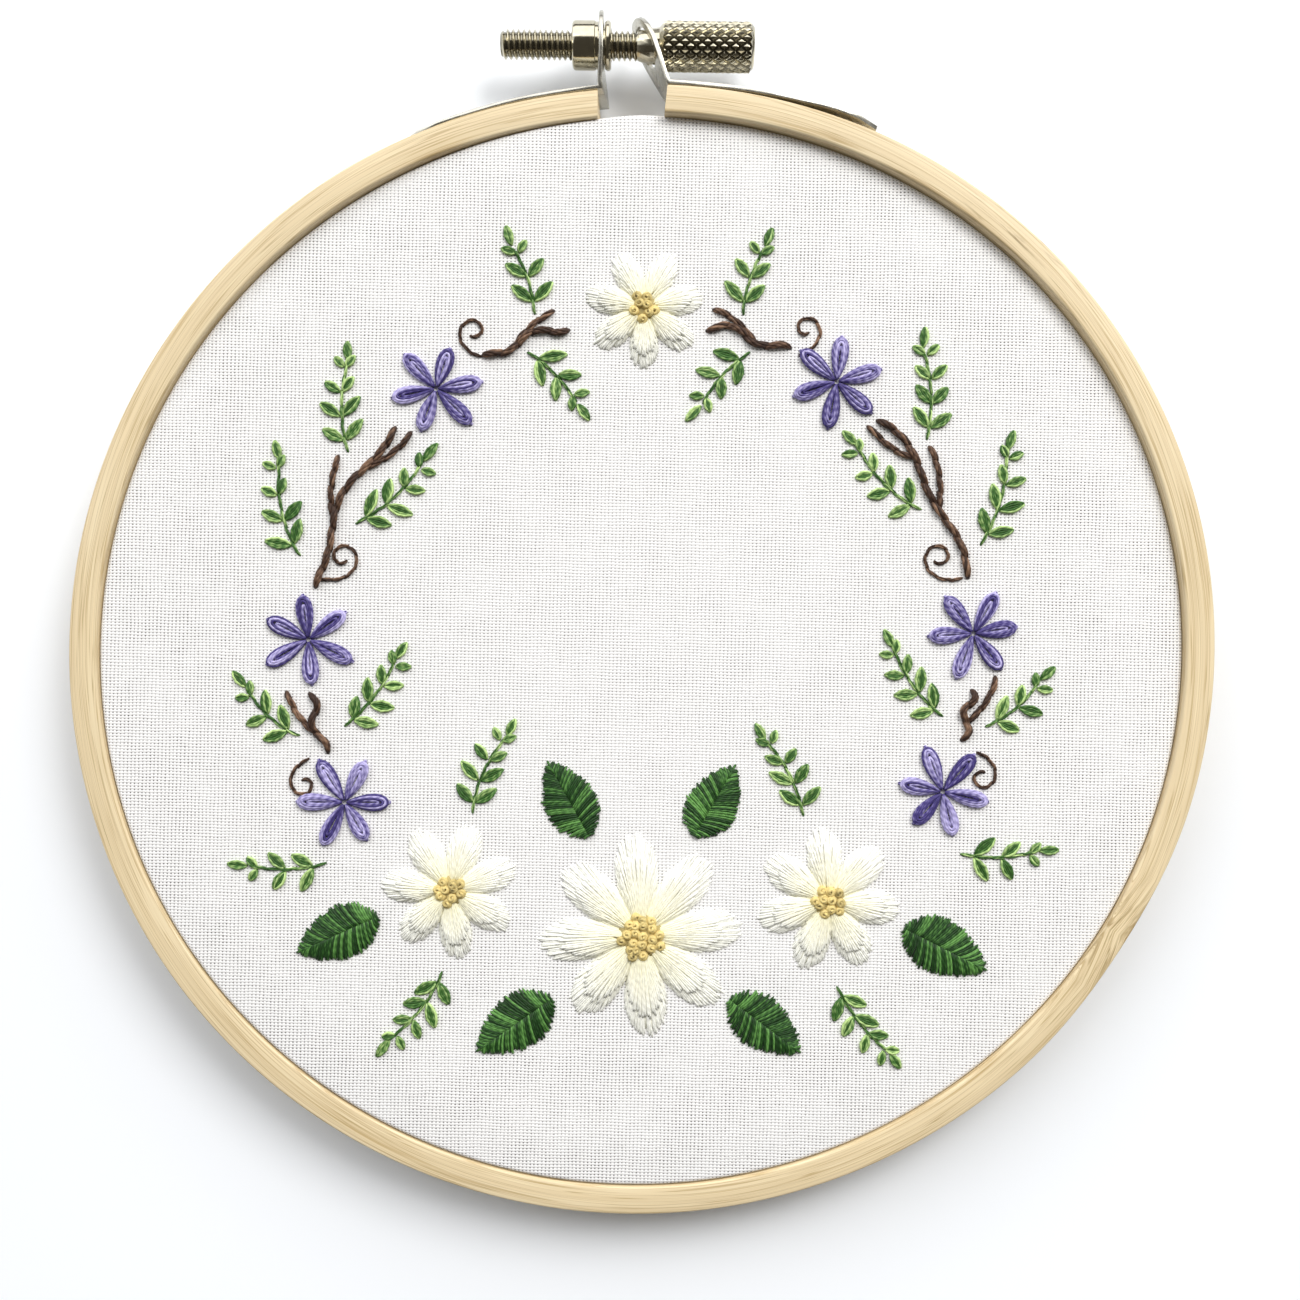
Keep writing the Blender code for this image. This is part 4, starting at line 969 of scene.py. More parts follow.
def add_knob(metal):
    """The knob: a tube of squares turned to diamonds, each inset and raised, with its shoulder and end closed."""
    core = KNOB_R - metal.knurl_depth
    start = KNOB_START + 0.4 * MM
    end = KNOB_END - 0.35 * MM
    deselect_all()
    bpy.ops.mesh.primitive_cylinder_add(
        vertices=metal.diamonds, radius=core, depth=end - start, location=(0, 0, (start + end) / 2),
        end_fill_type="NOTHING",
    )
    piece = bpy.context.object
    bpy.ops.object.transform_apply(location=True, rotation=True, scale=True)
    edit(piece, "EDGE")
    pick(piece, "edges", lambda e: abs(e.verts[0].co.z - e.verts[1].co.z) > 1 * MM)
    bpy.ops.mesh.subdivide(number_cuts=metal.rows - 1)
    bpy.ops.mesh.select_all(action="SELECT")
    bpy.ops.mesh.poke()
    on_core = 0.999 * core
    pick(
        piece, "edges",
        lambda e: len(e.link_faces) == 2 and all(hypot(v.co.x, v.co.y) > on_core for v in e.verts),
    )
    bpy.ops.mesh.dissolve_edges(use_verts=False)
    bm = bmesh.from_edit_mesh(piece.data)
    for vert in bm.verts:
        share = core / hypot(vert.co.x, vert.co.y)
        vert.co.x *= share
        vert.co.y *= share
    bmesh.update_edit_mesh(piece.data)
    # Both ends: out of the knurl, in to the chamfer, and closed
    for rim, steps in (
        (end, ((0.97, 0.15 * MM), (0.93, 0.2 * MM))),
        (start, ((0.93, -0.2 * MM), (0.88, -0.3 * MM), (0.95, -1.2 * MM), (0.9, -1.4 * MM), (0.9, -0.6 * MM))),
    ):
        bpy.ops.mesh.select_mode(type="EDGE")
        pick(piece, "edges", lambda e: len(e.link_faces) == 1 and all(abs(v.co.z - rim) < 0.01 * MM for v in e.verts))
        for scale, climb in steps:
            bpy.ops.mesh.extrude_region_move(TRANSFORM_OT_translate={"value": (0, 0, climb)})
            bpy.ops.transform.resize(value=(scale, scale, 1.0), center_override=(0, 0, rim))
        bpy.ops.mesh.edge_face_add()
    bpy.ops.mesh.select_mode(type="FACE")
    pick(piece, "faces", lambda f: start < f.calc_center_median().z < end and len(f.verts) <= 4)
    bpy.ops.mesh.inset(thickness=0.2 * MM, use_individual=True)
    bpy.ops.transform.shrink_fatten(value=0.75 * metal.knurl_depth)
    bpy.ops.mesh.poke(offset=0.25 * metal.knurl_depth)
    bpy.ops.mesh.select_all(action="SELECT")
    bpy.ops.mesh.normals_make_consistent(inside=False)
    done_editing()
    return piece


class HOOP_OT_thumb_screw(bpy.types.Operator):
    """Adds the thumb screw, with its cut thread and diamond-knurled knob"""

    bl_idname = "hoop.thumb_screw"
    bl_label = "Thumb screw"

    def execute(self, context):
        metal = context.scene.hoop_metal
        shank = add_shank(metal, NECK_END + 0.3 * MM)
        knob = add_knob(metal)
        deselect_all()
        shank.select_set(True)
        knob.select_set(True)
        context.view_layer.objects.active = knob
        bpy.ops.object.join()
        # How deep each point lies under the thread's crests, or under the tops of the knurl, for the painted shade in
        # the grooves
        depths = []
        for vert in knob.data.vertices:
            reach = hypot(vert.co.x, vert.co.y)
            if vert.co.z < NECK_END:
                depths.append((SHANK_R - reach) / metal.thread_depth)
            elif KNOB_START + 0.5 * MM < vert.co.z < KNOB_END - 0.3 * MM:
                depths.append((KNOB_R - reach) / metal.knurl_depth)
            else:
                depths.append(0.0)
        groove = knob.data.attributes.new("groove", "FLOAT", "POINT")
        groove.data.foreach_set("value", np.clip(depths, 0, 1).astype(np.float32))
        put(knob, on_screw())
        smooth(knob, radians(20))
        plate = plated_metal("bright nickel plate, knurled", metal.plate, 0.17, shade_grooves=True)
        finish_piece(knob, "plated_thumb_screw", "screw", "nickel_plate", plate, "thumb_screw")
        return {"FINISHED"}


class Skein:
    """Strands gathered for one piece, each a closed tube along its path, joined in one mesh."""

    def __init__(self, seed, sides=6):
        self.random = np.random.default_rng(seed)
        self.sides = sides
        self.corner_count = 0
        self.loop_count = 0
        self.corners, self.loops, self.starts, self.maps, self.shades, self.tints = [], [], [], [], [], []

    def lay(self, path, radius, shade, tint=0.0):
        """Adds a strand: path in mm from the hoop's centre and the cloth's face, radius in mm at each point."""
        path = np.asarray(path, float)
        steps = len(path)
        radius = np.broadcast_to(radius, steps)
        ahead = np.gradient(path, axis=0)
        aside = np.stack([-ahead[:, 1], ahead[:, 0], np.zeros(steps)], axis=1)
        aside /= np.maximum(np.linalg.norm(aside, axis=1, keepdims=True), 1e-9)
        rise = np.cross(ahead, aside)
        rise /= np.maximum(np.linalg.norm(rise, axis=1, keepdims=True), 1e-9)
        turn = 2 * pi * np.arange(self.sides) / self.sides
        ring = aside[:, None] * np.cos(turn)[None, :, None] + rise[:, None] * np.sin(turn)[None, :, None]
        length = np.concatenate([[0.0], np.cumsum(np.linalg.norm(np.diff(path, axis=0), axis=1))])
        length += 100.0 * self.random.random()
        self.join(path[:, None] + ring * radius[:, None, None], length, shade, tint)

    def pad(self, outline, middle, layers, shade, tint=0.0):
        """Adds the low pad of stitches under a satin shape: its outline at each layer's share of size and height."""
        layers = np.asarray(layers, float)
        rings = np.empty((len(layers), len(outline), 3))
        rings[..., :2] = middle + (outline - middle)[None] * layers[:, 0, None, None]
        rings[..., 2] = layers[:, 1, None]
        self.join(rings, layers[:, 1] + 100.0 * self.random.random(), shade, tint)

    def join(self, rings, length, shade, tint):
        """Joins rings of corners in a closed skin, with a cap on each end."""
        steps, sides = rings.shape[:2]
        self.corners.append(rings.reshape(-1, 3))
        row, here = np.meshgrid(np.arange(steps - 1), np.arange(sides), indexing="ij")
        rows = np.stack([row, row, row + 1, row + 1], axis=-1).ravel()
        places = np.stack([here, here + 1, here + 1, here], axis=-1).ravel()
        quads = (steps - 1) * sides
        cap = np.arange(sides)
        rows = np.concatenate([rows, np.zeros(sides, int), np.full(sides, steps - 1)])
        places = np.concatenate([places, cap[::-1], cap])
        self.loops.append(self.corner_count + rows * sides + places % sides)
        self.starts.append(self.loop_count + np.concatenate([4 * np.arange(quads), 4 * quads + np.array([0, sides])]))
        self.maps.append(np.column_stack([length[rows] * MM, places / sides]))
        self.shades.append(np.broadcast_to(shade, steps).repeat(sides))
        self.tints.append(np.broadcast_to(tint, steps).repeat(sides))
        self.corner_count += steps * sides
        self.loop_count += len(rows)

    def piece(self, name):
        """The joined mesh, as an object at the origin with its place in its mesh."""
        mesh = bpy.data.meshes.new(name)
        corners = np.concatenate(self.corners) * MM + np.array((CENTRE.x, CENTRE.y, CLOTH_TOP))
        loops = np.concatenate(self.loops)
        starts = np.concatenate(self.starts)
        mesh.vertices.add(len(corners))
        mesh.vertices.foreach_set("co", corners.ravel())
        mesh.loops.add(len(loops))
        mesh.loops.foreach_set("vertex_index", loops.astype(np.int32))
        mesh.polygons.add(len(starts))
        mesh.polygons.foreach_set("loop_start", starts.astype(np.int32))
        mesh.update(calc_edges=True)
        layer = mesh.uv_layers.new(name="strand")
        layer.data.foreach_set("uv", np.concatenate(self.maps).ravel())
        for label, values in (("shade", self.shades), ("tint", self.tints)):
            attribute = mesh.attributes.new(label, "FLOAT", "POINT")
            attribute.data.foreach_set("value", np.concatenate(values).astype(np.float32))
        mesh.shade_smooth()
        made = bpy.data.objects.new(name, mesh)
        bpy.context.collection.objects.link(made)
        return made


def flat_polar(reach, direction):
    return np.stack([reach * np.cos(direction), reach * np.sin(direction)], axis=-1)


def straight(
    skein, start, end, width, shade, ends=(-0.15, -0.15), crown=0.35, bow=0.0, tint=(0.0, 0.0), steps=8, blunt=0.55
):
    """One strand from hole to hole, arched off the cloth and bowed to one side."""
    start, end = np.asarray(start, float), np.asarray(end, float)
    share = 0.5 - 0.5 * np.cos(pi * np.linspace(0, 1, steps))
    swell = np.sin(pi * np.linspace(0, 1, steps)) ** 0.5
    way = end - start
    aside = np.array([-way[1], way[0]]) / max(np.hypot(*way), 1e-9)
    flat = start + way * share[:, None] + aside * (bow * np.sin(pi * share))[:, None]
    height = ends[0] + (ends[1] - ends[0]) * share + crown * swell
    radius = width / 2 * (blunt + (1 - blunt) * swell)
    skein.lay(np.column_stack([flat, height]), radius, shade, tint[0] + (tint[1] - tint[0]) * share)


def leaf_half_width(along, leaf):
    """Half of a leaf's width at a distance along it from its middle."""
    place = np.clip(2 * along / leaf.length, -1, 1)
    side = np.sqrt(1 - place**2)
    return side**1.5 * (1 - 0.28 * place) * leaf.width / 2


class HOOP_OT_leaves(bpy.types.Operator):
    """Adds the satin-stitched leaves, their strands slanted from the midrib"""

    bl_idname = "hoop.leaves"
    bl_label = "Satin leaves"

    def execute(self, context):
        settings = context.scene.hoop_floss
        strand = settings.strand / MM
        skein = Skein(seed=11, sides=5)
        for leaf in LEAVES:
            heading = radians(leaf.heading)
            turn = np.array([[cos(heading), sin(heading)], [-sin(heading), cos(heading)]])
            middle = np.array([leaf.x, leaf.y]) + flat_polar(leaf.length / 2, heading)
            around = np.linspace(0, 2 * pi, 40, endpoint=False)
            along = leaf.length / 2 * np.cos(around)
            outline = np.column_stack([along, np.sign(np.sin(around)) * leaf_half_width(along, leaf)]) @ turn + middle
            # A low pad under the strands in the floss's darkest tone: painted shade between the strands
            skein.pad(outline, middle, ((0.9, -0.1), (0.9, 0.15), (0.7, 0.33), (0.3, 0.36)), 0.0)
            count = round(leaf.length / (0.72 * strand))
            for side in (-1, 1):
                for i in range(count):
                    share = i / (count - 1)
                    slant = radians(104 - 66 * share**0.6) + 0.025 * skein.random.normal()
                    root = -leaf.length / 2 + 0.4 + (leaf.length - 1.6) * share
                    reach = np.linspace(0.2, leaf.width, 90)
                    along = root + reach * cos(slant)
                    inside = reach * sin(slant) < leaf_half_width(along, leaf)
                    length = reach[inside][-1] if inside.any() else 0.5
                    length = max(0.7, length + 0.14 * skein.random.normal())
                    start = np.array([root - 0.1, -side * 0.12])
                    end = np.array([root + length * cos(slant), side * length * sin(slant)])
                    straight(
                        skein, start @ turn + middle, end @ turn + middle, strand * 0.95,
                        skein.random.random() ** 1.3, ends=(0.10, -0.12), crown=0.38 + 0.07 * skein.random.random(),
                        bow=-side * 0.12,
                    )
            tip = np.array([[leaf.length / 2 - 2.0, 0.0], [leaf.length / 2 + 0.1, 0.0]]) @ turn + middle
            straight(skein, tip[0], tip[1], strand, 0.5, ends=(0.25, -0.1))
        piece = skein.piece("satin_leaves")
        green = floss("leaf green cotton floss", settings.leaf, settings.leaf_pale)
        nodes = [f"leaf_{n}" for n in range(1, len(LEAVES) + 1)]
        finish_piece(piece, "satin_leaves", "hoop", "leaf_green_floss", green, *nodes)
        return {"FINISHED"}


def petal_reach(offset, daisy, waist):
    """How far a daisy's petal reaches at an angle off its middle line."""
    return waist + (daisy.radius - waist) * np.abs(np.cos(daisy.petals * offset / 2)) ** 0.6


class HOOP_OT_daisies(bpy.types.Operator):
    """Adds the daisies: petals in long and short stitch, centres in knots"""

    bl_idname = "hoop.daisies"
    bl_label = "Daisies"

    def execute(self, context):
        settings = context.scene.hoop_floss
        strand = settings.strand / MM * 0.9
        petals, knots = Skein(seed=21, sides=5), Skein(seed=22)
        for daisy in DAISIES:
            middle = np.array([daisy.x, daisy.y])
            core = CENTRE_SHARE * daisy.radius
            self.sew_petals(petals, daisy, middle, core, strand)
            self.tie_knots(knots, middle, core)
        white = floss("white cotton floss", toned(settings.white, 0.9), settings.white, tip=settings.cream, roughness=0.7)
        nodes = [f"daisy_{n}" for n in range(1, len(DAISIES) + 1)]
        finish_piece(petals.piece("daisy_petals"), "daisy_petals", "hoop", "white_floss", white, *nodes)
        straw = floss("straw yellow floss", toned(settings.yellow, 0.8), settings.yellow, roughness=0.65)
        nodes = [f"daisy_centre_{n}" for n in range(1, len(DAISIES) + 1)]
        finish_piece(knots.piece("daisy_knots"), "daisy_knots", "hoop", "yellow_floss", straw, *nodes)
        return {"FINISHED"}

    def sew_petals(self, skein, daisy, middle, core, strand):
        """Three rows of strands to a petal, from its edge in to the knots, over a low pad."""
        rng = skein.random
        half = pi / daisy.petals * 0.97
        waist = 1.5 * core
        around = np.linspace(0, 2 * pi, 14 * daisy.petals, endpoint=False)
        outline = middle + flat_polar(petal_reach(around - radians(daisy.turn), daisy, waist), around)
        skein.pad(outline, middle, ((0.93, -0.1), (0.93, 0.15), (0.8, 0.5), (0.45, 0.62), (0.1, 0.64)), 0.75, tint=0.25)
        for petal in range(daisy.petals):
            direction = radians(daisy.turn) + 2 * pi * petal / daisy.petals
            for outer, inner, density, lift in ((1.0, 0.55, 1.25, 0.0), (0.80, 0.30, 0.85, 0.08), (0.56, 0.16, 0.5, 0.14)):
                count = max(5, round(2 * half * daisy.radius * density / strand))
                for i in range(count):
                    offset = half * (2 * (i + 0.5) / count - 1) + 0.006 * rng.normal()
                    edge = petal_reach(offset, daisy, waist)
                    start = edge * outer * (1 + 0.02 * rng.normal())
                    end = max(core * 0.6, edge * (inner + 0.05 * rng.normal()))
                    if start - end < 0.8:
                        continue
                    dome = 0.5 * cos(min(1.0, abs(offset) / half) * pi / 2) ** 0.6 + 0.12
                    first = -0.12 if outer == 1.0 else dome * 0.9 + lift
                    tint = [0.95 * np.clip(1.25 - (r - core * 0.6) / (0.42 * daisy.radius), 0, 1) ** 1.5 for r in (start, end)]
                    straight(
                        skein,
                        middle + flat_polar(start, direction + offset),
                        middle + flat_polar(end, direction + offset * 0.97),
                        strand, 0.35 + 0.65 * rng.random(), ends=(first, dome + lift), crown=0.25,
                        bow=0.05 * rng.normal(), tint=tint, blunt=0.75, steps=7,
                    )

    def tie_knots(self, skein, middle, core):
        """Knots spread evenly over the centre, each two turns of a doubled strand."""
        rng = skein.random
        around = np.linspace(0, 2 * pi, 20, endpoint=False)
        rim = middle + flat_polar(0.9 * core * (1 + 0.08 * np.sin(5 * around)), around)
        # A low pad under the knots in the floss's darkest tone: painted shade between the knots
        skein.pad(rim, middle, ((1.0, 0.3), (1.0, 0.8), (0.8, 1.0), (0.3, 1.1)), 0.0)
        count = max(8, round(1.75 * core**2))
        for i in range(count):
            reach = core * 0.9 * ((i + 0.5) / count) ** 0.5
            spot = middle + flat_polar(reach, i * 2.39996 + 0.3) + 0.15 * rng.normal(size=2)
            base = 0.95 - 0.3 * (reach / core) ** 2 + 0.1 * rng.random()
            twist = 2 * pi * rng.random()
            tilt = 0.28 * rng.normal(size=2)
            share = np.linspace(0, 1, 24)
            around = twist + share * 2 * pi * 2.6
            wide = 0.52 * np.cos(pi / 2 * share**2.5) + 0.02
            flat = flat_polar(wide, around)
            height = base + 0.05 + 0.55 * share**1.4 + flat @ tilt * 0.6
            skein.lay(np.column_stack([spot + flat, height]), 0.27, 0.1 + 0.8 * rng.random())


class HOOP_OT_violets(bpy.types.Operator):
    """Adds the violets: each petal a looped chain stitch, held by a short stitch over its tip"""

    bl_idname = "hoop.violets"
    bl_label = "Violets"

    def execute(self, context):
        settings = context.scene.hoop_floss
        skein = Skein(seed=31)
        rng = skein.random
        reach = VIOLET_RADIUS - 0.6
        for violet in VIOLETS:
            middle = flat_polar(GARLAND_R, radians(violet.direction))
            for petal in range(VIOLET_PETALS):
                direction = radians(violet.turn) + 2 * pi * petal / VIOLET_PETALS + 0.05 * rng.normal()
                ahead, aside = flat_polar(1.0, direction), flat_polar(1.0, direction + pi / 2)
                size = 1 + 0.04 * rng.normal()
                for length, width, lift in ((1.0, 1.42, 0.0), (0.96, 1.08, 0.12), (0.90, 0.76, 0.16), (0.80, 0.42, 0.08)):
                    around = np.linspace(0.04, 0.96, 18) * 2 * pi
                    along = 0.3 + (reach * size * length - 0.3) * (1 - np.cos(around)) / 2
                    across = width * np.sin(around) * np.sin(around / 2) + 0.12 * (np.linspace(0, 1, 18) - 0.5)
                    flat = middle + ahead * along[:, None] + aside * across[:, None]
                    height = 0.12 + lift + 0.32 * np.sin(around / 2) ** 0.5
                    # Painted shade: each loop darker towards its ends at the flower's middle, where it dips to the
                    # cloth
                    tone = (0.1 + 0.9 * rng.random()) * (0.35 + 0.65 * np.sin(around / 2))
                    skein.lay(np.column_stack([flat, height]), 0.22, tone)
                tip = middle + ahead * (reach * size - 0.5)
                for shift in (-0.1, 0.1):
                    straight(
                        skein, tip + aside * shift, tip + ahead * 0.85 + aside * shift, 0.32,
                        0.3 + 0.5 * rng.random(), ends=(0.3, -0.15), crown=0.35,
                    )
        violet_floss = floss("violet cotton floss", settings.violet, settings.violet_pale, roughness=0.5)
        nodes = [f"violet_{n}" for n in range(1, len(VIOLETS) + 1)]
        finish_piece(skein.piece("violet_petals"), "violet_petals", "hoop", "violet_floss", violet_floss, *nodes)
        return {"FINISHED"}


def spaced(line, distance):
    """The point at a distance along a line of points, beyond its ends too."""
    steps = np.linalg.norm(np.diff(line, axis=0), axis=1)
    length = np.concatenate([[0.0], np.cumsum(steps)])
    return np.stack([np.interp(distance, length, line[:, 0]), np.interp(distance, length, line[:, 1])], axis=-1)


def sew_line(skein, line, width, step, strands, rise=0.0):
    """Stem stitch along a line: each stitch a twisted bundle, lying half beside the one before."""
    rng = skein.random
    total = np.linalg.norm(np.diff(line, axis=0), axis=1).sum()
    count = max(1, round(total / step))
    pace = total / count
    strand = width * 0.46
    for i in range(count):
        start = max(0.0, pace * (i - 0.12))
        end = min(total, pace * (i + 1.22))
        share = np.linspace(0, 1, 9)
        flat = spaced(line, start + (end - start) * share)
        ahead = np.gradient(flat, axis=0)
        aside = np.stack([-ahead[:, 1], ahead[:, 0]], axis=1)
        aside /= np.linalg.norm(aside, axis=1, keepdims=True)
        swell = np.sin(pi * share) ** 0.5
        shift = (share - 0.5) * 0.34 * width
        twist = 2 * pi * rng.random()
        shade = 0.25 + 0.4 * rng.random()
        for k in range(strands):
            phase = twist + 2 * pi * k / strands + 2 * pi * 0.55 * share
            out = (width / 2 - strand / 2) * (0.25 + 0.75 * swell)
            side = shift + out * np.cos(phase)
            height = rise - 0.15 + (0.15 + width * 0.42) * swell + 0.7 * out * np.sin(phase)
            path = np.column_stack([flat + aside * side[:, None], height])
            # Painted shade: each strand darker towards the stitch's ends, where it dips into the cloth
            tone = np.clip(shade + 0.25 * rng.normal(), 0, 1) * (0.3 + 0.7 * swell)
            skein.lay(path, strand / 2 * (0.6 + 0.4 * swell), tone)


def stem_line(stem, start=0.0, end=1.0, count=40):
    """Points on a stem that wavers a little about the garland's circle."""
    share = np.linspace(start, end, count)
    first, last = radians(stem.start), radians(stem.end)
    return flat_polar(GARLAND_R + 0.7 * np.sin(3 * pi * share + first), first + (last - first) * share)


class HOOP_OT_stems(bpy.types.Operator):
    """Adds the brown stems and twigs in stem stitch"""

    bl_idname = "hoop.stems"
    bl_label = "Stems"

    def execute(self, context):
        settings = context.scene.hoop_floss
        skein = Skein(seed=41, sides=5)
        for twig in TWIGS:
            stem = STEMS[twig.stem]
            root = stem_line(stem, twig.along, twig.along + 0.001, 2)[0]
            growth = 1 if stem.end > stem.start else -1
            heading = atan2(root[1], root[0]) + growth * pi / 2 + radians(twig.lean)
            share = np.linspace(0, 1, 20)
            line = root + flat_polar(twig.length * share, heading - radians(0.5 * twig.lean) * share)
            sew_line(skein, line, 1.0, 2.7, 4)
        for stem in STEMS:
            sew_line(skein, stem_line(stem), 1.15, 3.0, 5, rise=0.06)
        brown = floss("brown cotton floss", settings.brown, settings.brown_pale, roughness=0.6)
        nodes = [f"stem_{n}" for n in range(1, len(STEMS) + 1)]
        finish_piece(skein.piece("brown_stems"), "brown_stems", "hoop", "brown_floss", brown, *nodes)
        return {"FINISHED"}


class HOOP_OT_tendrils(bpy.types.Operator):
    """Adds the fine brown tendrils that curl out from the twigs"""

    bl_idname = "hoop.tendrils"
    bl_label = "Tendrils"

    def execute(self, context):
        settings = context.scene.hoop_floss
        skein = Skein(seed=61, sides=5)
        for tendril in TENDRILS:
            share = np.linspace(0, 1, 60)
            turn = np.radians(tendril.heading) + np.radians(tendril.curl) * share**1.6
            pace = tendril.length / 59 * (1.15 - 0.5 * share)
            line = np.array([tendril.x, tendril.y]) + np.cumsum(flat_polar(pace, turn), axis=0)
            sew_line(skein, line, 0.6, 2.0, 3)
        brown = floss("fine brown cotton floss", settings.brown, settings.brown_pale, roughness=0.6)
        finish_piece(skein.piece("brown_tendrils"), "brown_tendrils", "hoop", "brown_floss", brown)
        return {"FINISHED"}


class HOOP_OT_sprigs(bpy.types.Operator):
    """Adds the sprigs: a fine stalk with leaflets in pairs, each a small looped stitch"""

    bl_idname = "hoop.sprigs"
    bl_label = "Sprigs"

    def execute(self, context):
        settings = context.scene.hoop_floss
        skein = Skein(seed=51, sides=5)
        for sprig in SPRIGS:
            base = np.array([sprig.x, sprig.y])
            share = np.linspace(0, 1, 24)
            turn = np.radians(sprig.heading + sprig.curl * share)
            stalk = base + flat_polar(sprig.length * share * 0.94, turn)
            sew_line(skein, stalk, 0.55, 2.3, 3)
            for pair in range(sprig.pairs):
                along = (pair + 0.5) / sprig.pairs
                heading = radians(sprig.heading + sprig.curl * along)
                root = base + flat_polar(sprig.length * along, heading)
                taper = 0.55 + 0.45 * sin(pi * min(1.0, 0.25 + along))
                for side in (-1, 1):
                    self.sew_leaflet(skein, root, heading + side * radians(48), 3.8 * taper, 1.75 * taper**0.5)
            self.sew_leaflet(skein, stalk[-1], turn[-1], 2.9, 1.4)
        green = floss("variegated green cotton floss", settings.sprig, settings.sprig_pale)
        nodes = [f"sprig_{n}" for n in range(1, len(SPRIGS) + 1)]
        finish_piece(skein.piece("green_sprigs"), "green_sprigs", "hoop", "light_green_floss", green, *nodes)
        return {"FINISHED"}

    def sew_leaflet(self, skein, root, heading, length, width):
        """Five strands from one hole to another, bowed apart, paler outside and darker in the lowered middle: partly
        the floss's variegation, partly painted shade.
        """
        rng = skein.random
        heading += 0.08 * rng.normal()
        length *= 1 + 0.06 * rng.normal()
        start = root + flat_polar(0.25, heading)
        end = root + flat_polar(length + 0.25, heading)
        strand = 0.42
        # Pale outer strands and a dark, low middle one: the floss's variegation, with painted shade in the slot between
        # them
        for place, pale in ((-1, 0.68), (1, 0.62), (-0.5, 0.42), (0.5, 0.32), (0, 0.02)):
            shade = np.clip(pale + 0.2 * rng.normal(), 0, 1)
            bow = place * (width / 2 - strand / 2) * 1.1
            straight(skein, start, end, strand, shade, crown=0.34 + 0.12 * abs(place), bow=bow, steps=7)


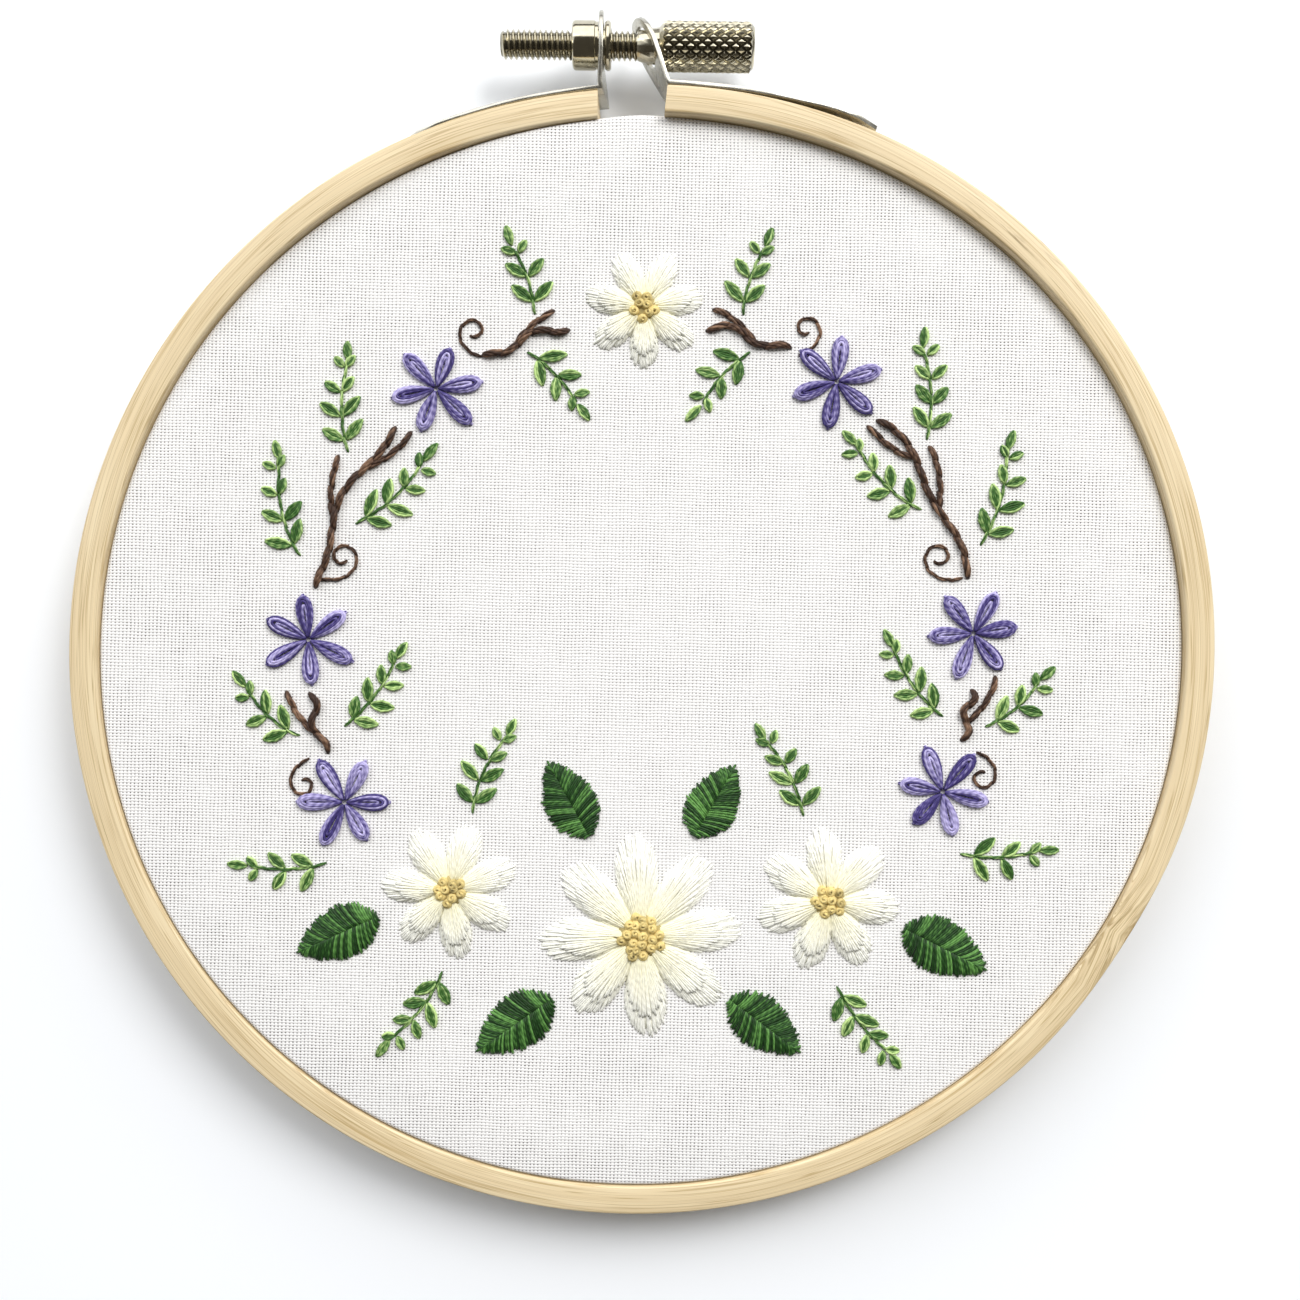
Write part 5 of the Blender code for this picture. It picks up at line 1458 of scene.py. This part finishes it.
class HOOP_OT_stage(bpy.types.Operator):
    """Adds the pale floor, the soft lights and the camera"""

    bl_idname = "hoop.stage"
    bl_label = "Stage"

    def execute(self, context):
        settings = context.scene.hoop_stage
        deselect_all()
        bpy.ops.mesh.primitive_circle_add(vertices=96, radius=3.0, fill_type="NGON", location=(0, 0, -0.0003))
        floor = context.object
        bpy.ops.object.transform_apply(location=True, rotation=True, scale=True)
        floor.name = "pale_floor"
        made, tree, shader = new_material("matt pale board", Roughness=0.85)
        place = add(tree, "ShaderNodeTexCoord")
        cloud = add(tree, "ShaderNodeTexNoise", {"Vector": place.outputs["Object"], "Scale": 9.0, "Detail": 2.0})
        tone = add(tree, "ShaderNodeMapRange", {"Value": cloud.outputs["Fac"], "To Min": 0.97, "To Max": 1.02})
        mixed = add(
            tree, "ShaderNodeMix", {"Factor": 1.0, "A": (*settings.floor, 1.0), "B": tone.outputs[0]},
            data_type="RGBA", blend_type="MULTIPLY",
        )
        tree.links.new(mixed.outputs["Result"], shader.inputs["Base Color"])
        floor.data.materials.append(made)

        camera = bpy.data.objects.new("camera", bpy.data.cameras.new("camera"))
        context.collection.objects.link(camera)
        camera.location = (1.3 * MM, CENTRE.y + 0.16 * MM, settings.lens_height)
        camera.data.sensor_width = 36.0
        camera.data.lens = 37.22
        camera.data.clip_start = 0.005
        context.scene.camera = camera

        for name, place, size, power, colour in (
            ("key", (0.45, 0.55, 0.75), 0.45, settings.key, (1.0, 0.985, 0.955)),
            ("fill", (-0.7, 0.35, 0.7), 0.8, settings.key * 0.3, (0.95, 0.975, 1.0)),
        ):
            light = bpy.data.objects.new(name, bpy.data.lights.new(name, "AREA"))
            context.collection.objects.link(light)
            light.location = place
            light.rotation_euler = (Vector((0, 0, 0)) - Vector(place)).to_track_quat("-Z", "Y").to_euler()
            light.data.size = size
            light.data.energy = power
            light.data.color = colour

        world = context.scene.world or bpy.data.worlds.new("studio")
        context.scene.world = world
        world.use_nodes = True
        tree = world.node_tree
        # A studio lit by high windows beyond the clamp and fainter ones at the sides, under a dim ceiling
        sky = add(tree, "ShaderNodeTexCoord")
        apart = add(tree, "ShaderNodeSeparateXYZ", {0: sky.outputs["Generated"]})
        wall = add(
            tree, "ShaderNodeMapRange", {"Value": apart.outputs["Y"], "From Min": 0.28, "From Max": 0.4},
            interpolation_type="SMOOTHSTEP",
        )
        aside = add(tree, "ShaderNodeMath", {0: apart.outputs["X"]}, operation="ABSOLUTE")
        sides = add(
            tree, "ShaderNodeMapRange", {"Value": aside.outputs[0], "From Min": 0.5, "From Max": 0.95, "To Max": 0.2},
            interpolation_type="SMOOTHSTEP",
        )
        lit = add(tree, "ShaderNodeMath", {0: wall.outputs[0], 1: sides.outputs[0]}, operation="MAXIMUM")
        above = add(
            tree, "ShaderNodeMapRange", {"Value": apart.outputs["Z"], "From Min": 0.12, "From Max": 0.32},
            interpolation_type="SMOOTHSTEP",
        )
        bright = add(tree, "ShaderNodeMath", {0: lit.outputs[0], 1: above.outputs[0]}, operation="MULTIPLY")
        shades = add(tree, "ShaderNodeValToRGB", {"Fac": bright.outputs[0]})
        ramp(shades, [(0.0, (0.034, 0.031, 0.026)), (1.0, (1.0, 1.0, 1.01))])
        background = tree.nodes["Background"]
        tree.links.new(shades.outputs["Color"], background.inputs["Color"])
        background.inputs["Strength"].default_value = settings.windows
        context.scene.view_settings.view_transform = "Standard"
        return {"FINISHED"}


OPERATORS = (
    HOOP_OT_inner_ring,
    HOOP_OT_outer_ring,
    HOOP_OT_cloth,
    HOOP_OT_brackets,
    HOOP_OT_clamp_nut,
    HOOP_OT_thumb_screw,
    HOOP_OT_leaves,
    HOOP_OT_daisies,
    HOOP_OT_violets,
    HOOP_OT_stems,
    HOOP_OT_tendrils,
    HOOP_OT_sprigs,
    HOOP_OT_stage,
)


class HOOP_PT_panel(bpy.types.Panel):
    """Lists the pieces of the hoop embroidery"""

    bl_label = "Hoop Embroidery"
    bl_idname = "HOOP_PT_panel"
    bl_space_type = "VIEW_3D"
    bl_region_type = "UI"
    bl_category = "Hoop Embroidery"

    def draw(self, context):
        for name in GROUPS:
            settings = getattr(context.scene, name)
            box = self.layout.box()
            for key in settings.bl_rna.properties.keys():
                if key not in {"rna_type", "name"}:
                    box.prop(settings, key)
        for operator in OPERATORS:
            self.layout.operator(operator.bl_idname)


CLASSES = (*GROUPS.values(), *OPERATORS, HOOP_PT_panel)


def register():
    for cls in CLASSES:
        bpy.utils.register_class(cls)
    for name, group in GROUPS.items():
        setattr(bpy.types.Scene, name, PointerProperty(type=group))


def unregister():
    for name in GROUPS:
        delattr(bpy.types.Scene, name)
    for cls in reversed(CLASSES):
        bpy.utils.unregister_class(cls)


def main():
    register()
    for operator in OPERATORS:
        family, action = operator.bl_idname.split(".")
        getattr(getattr(bpy.ops, family), action)()


if __name__ == "__main__":
    main()
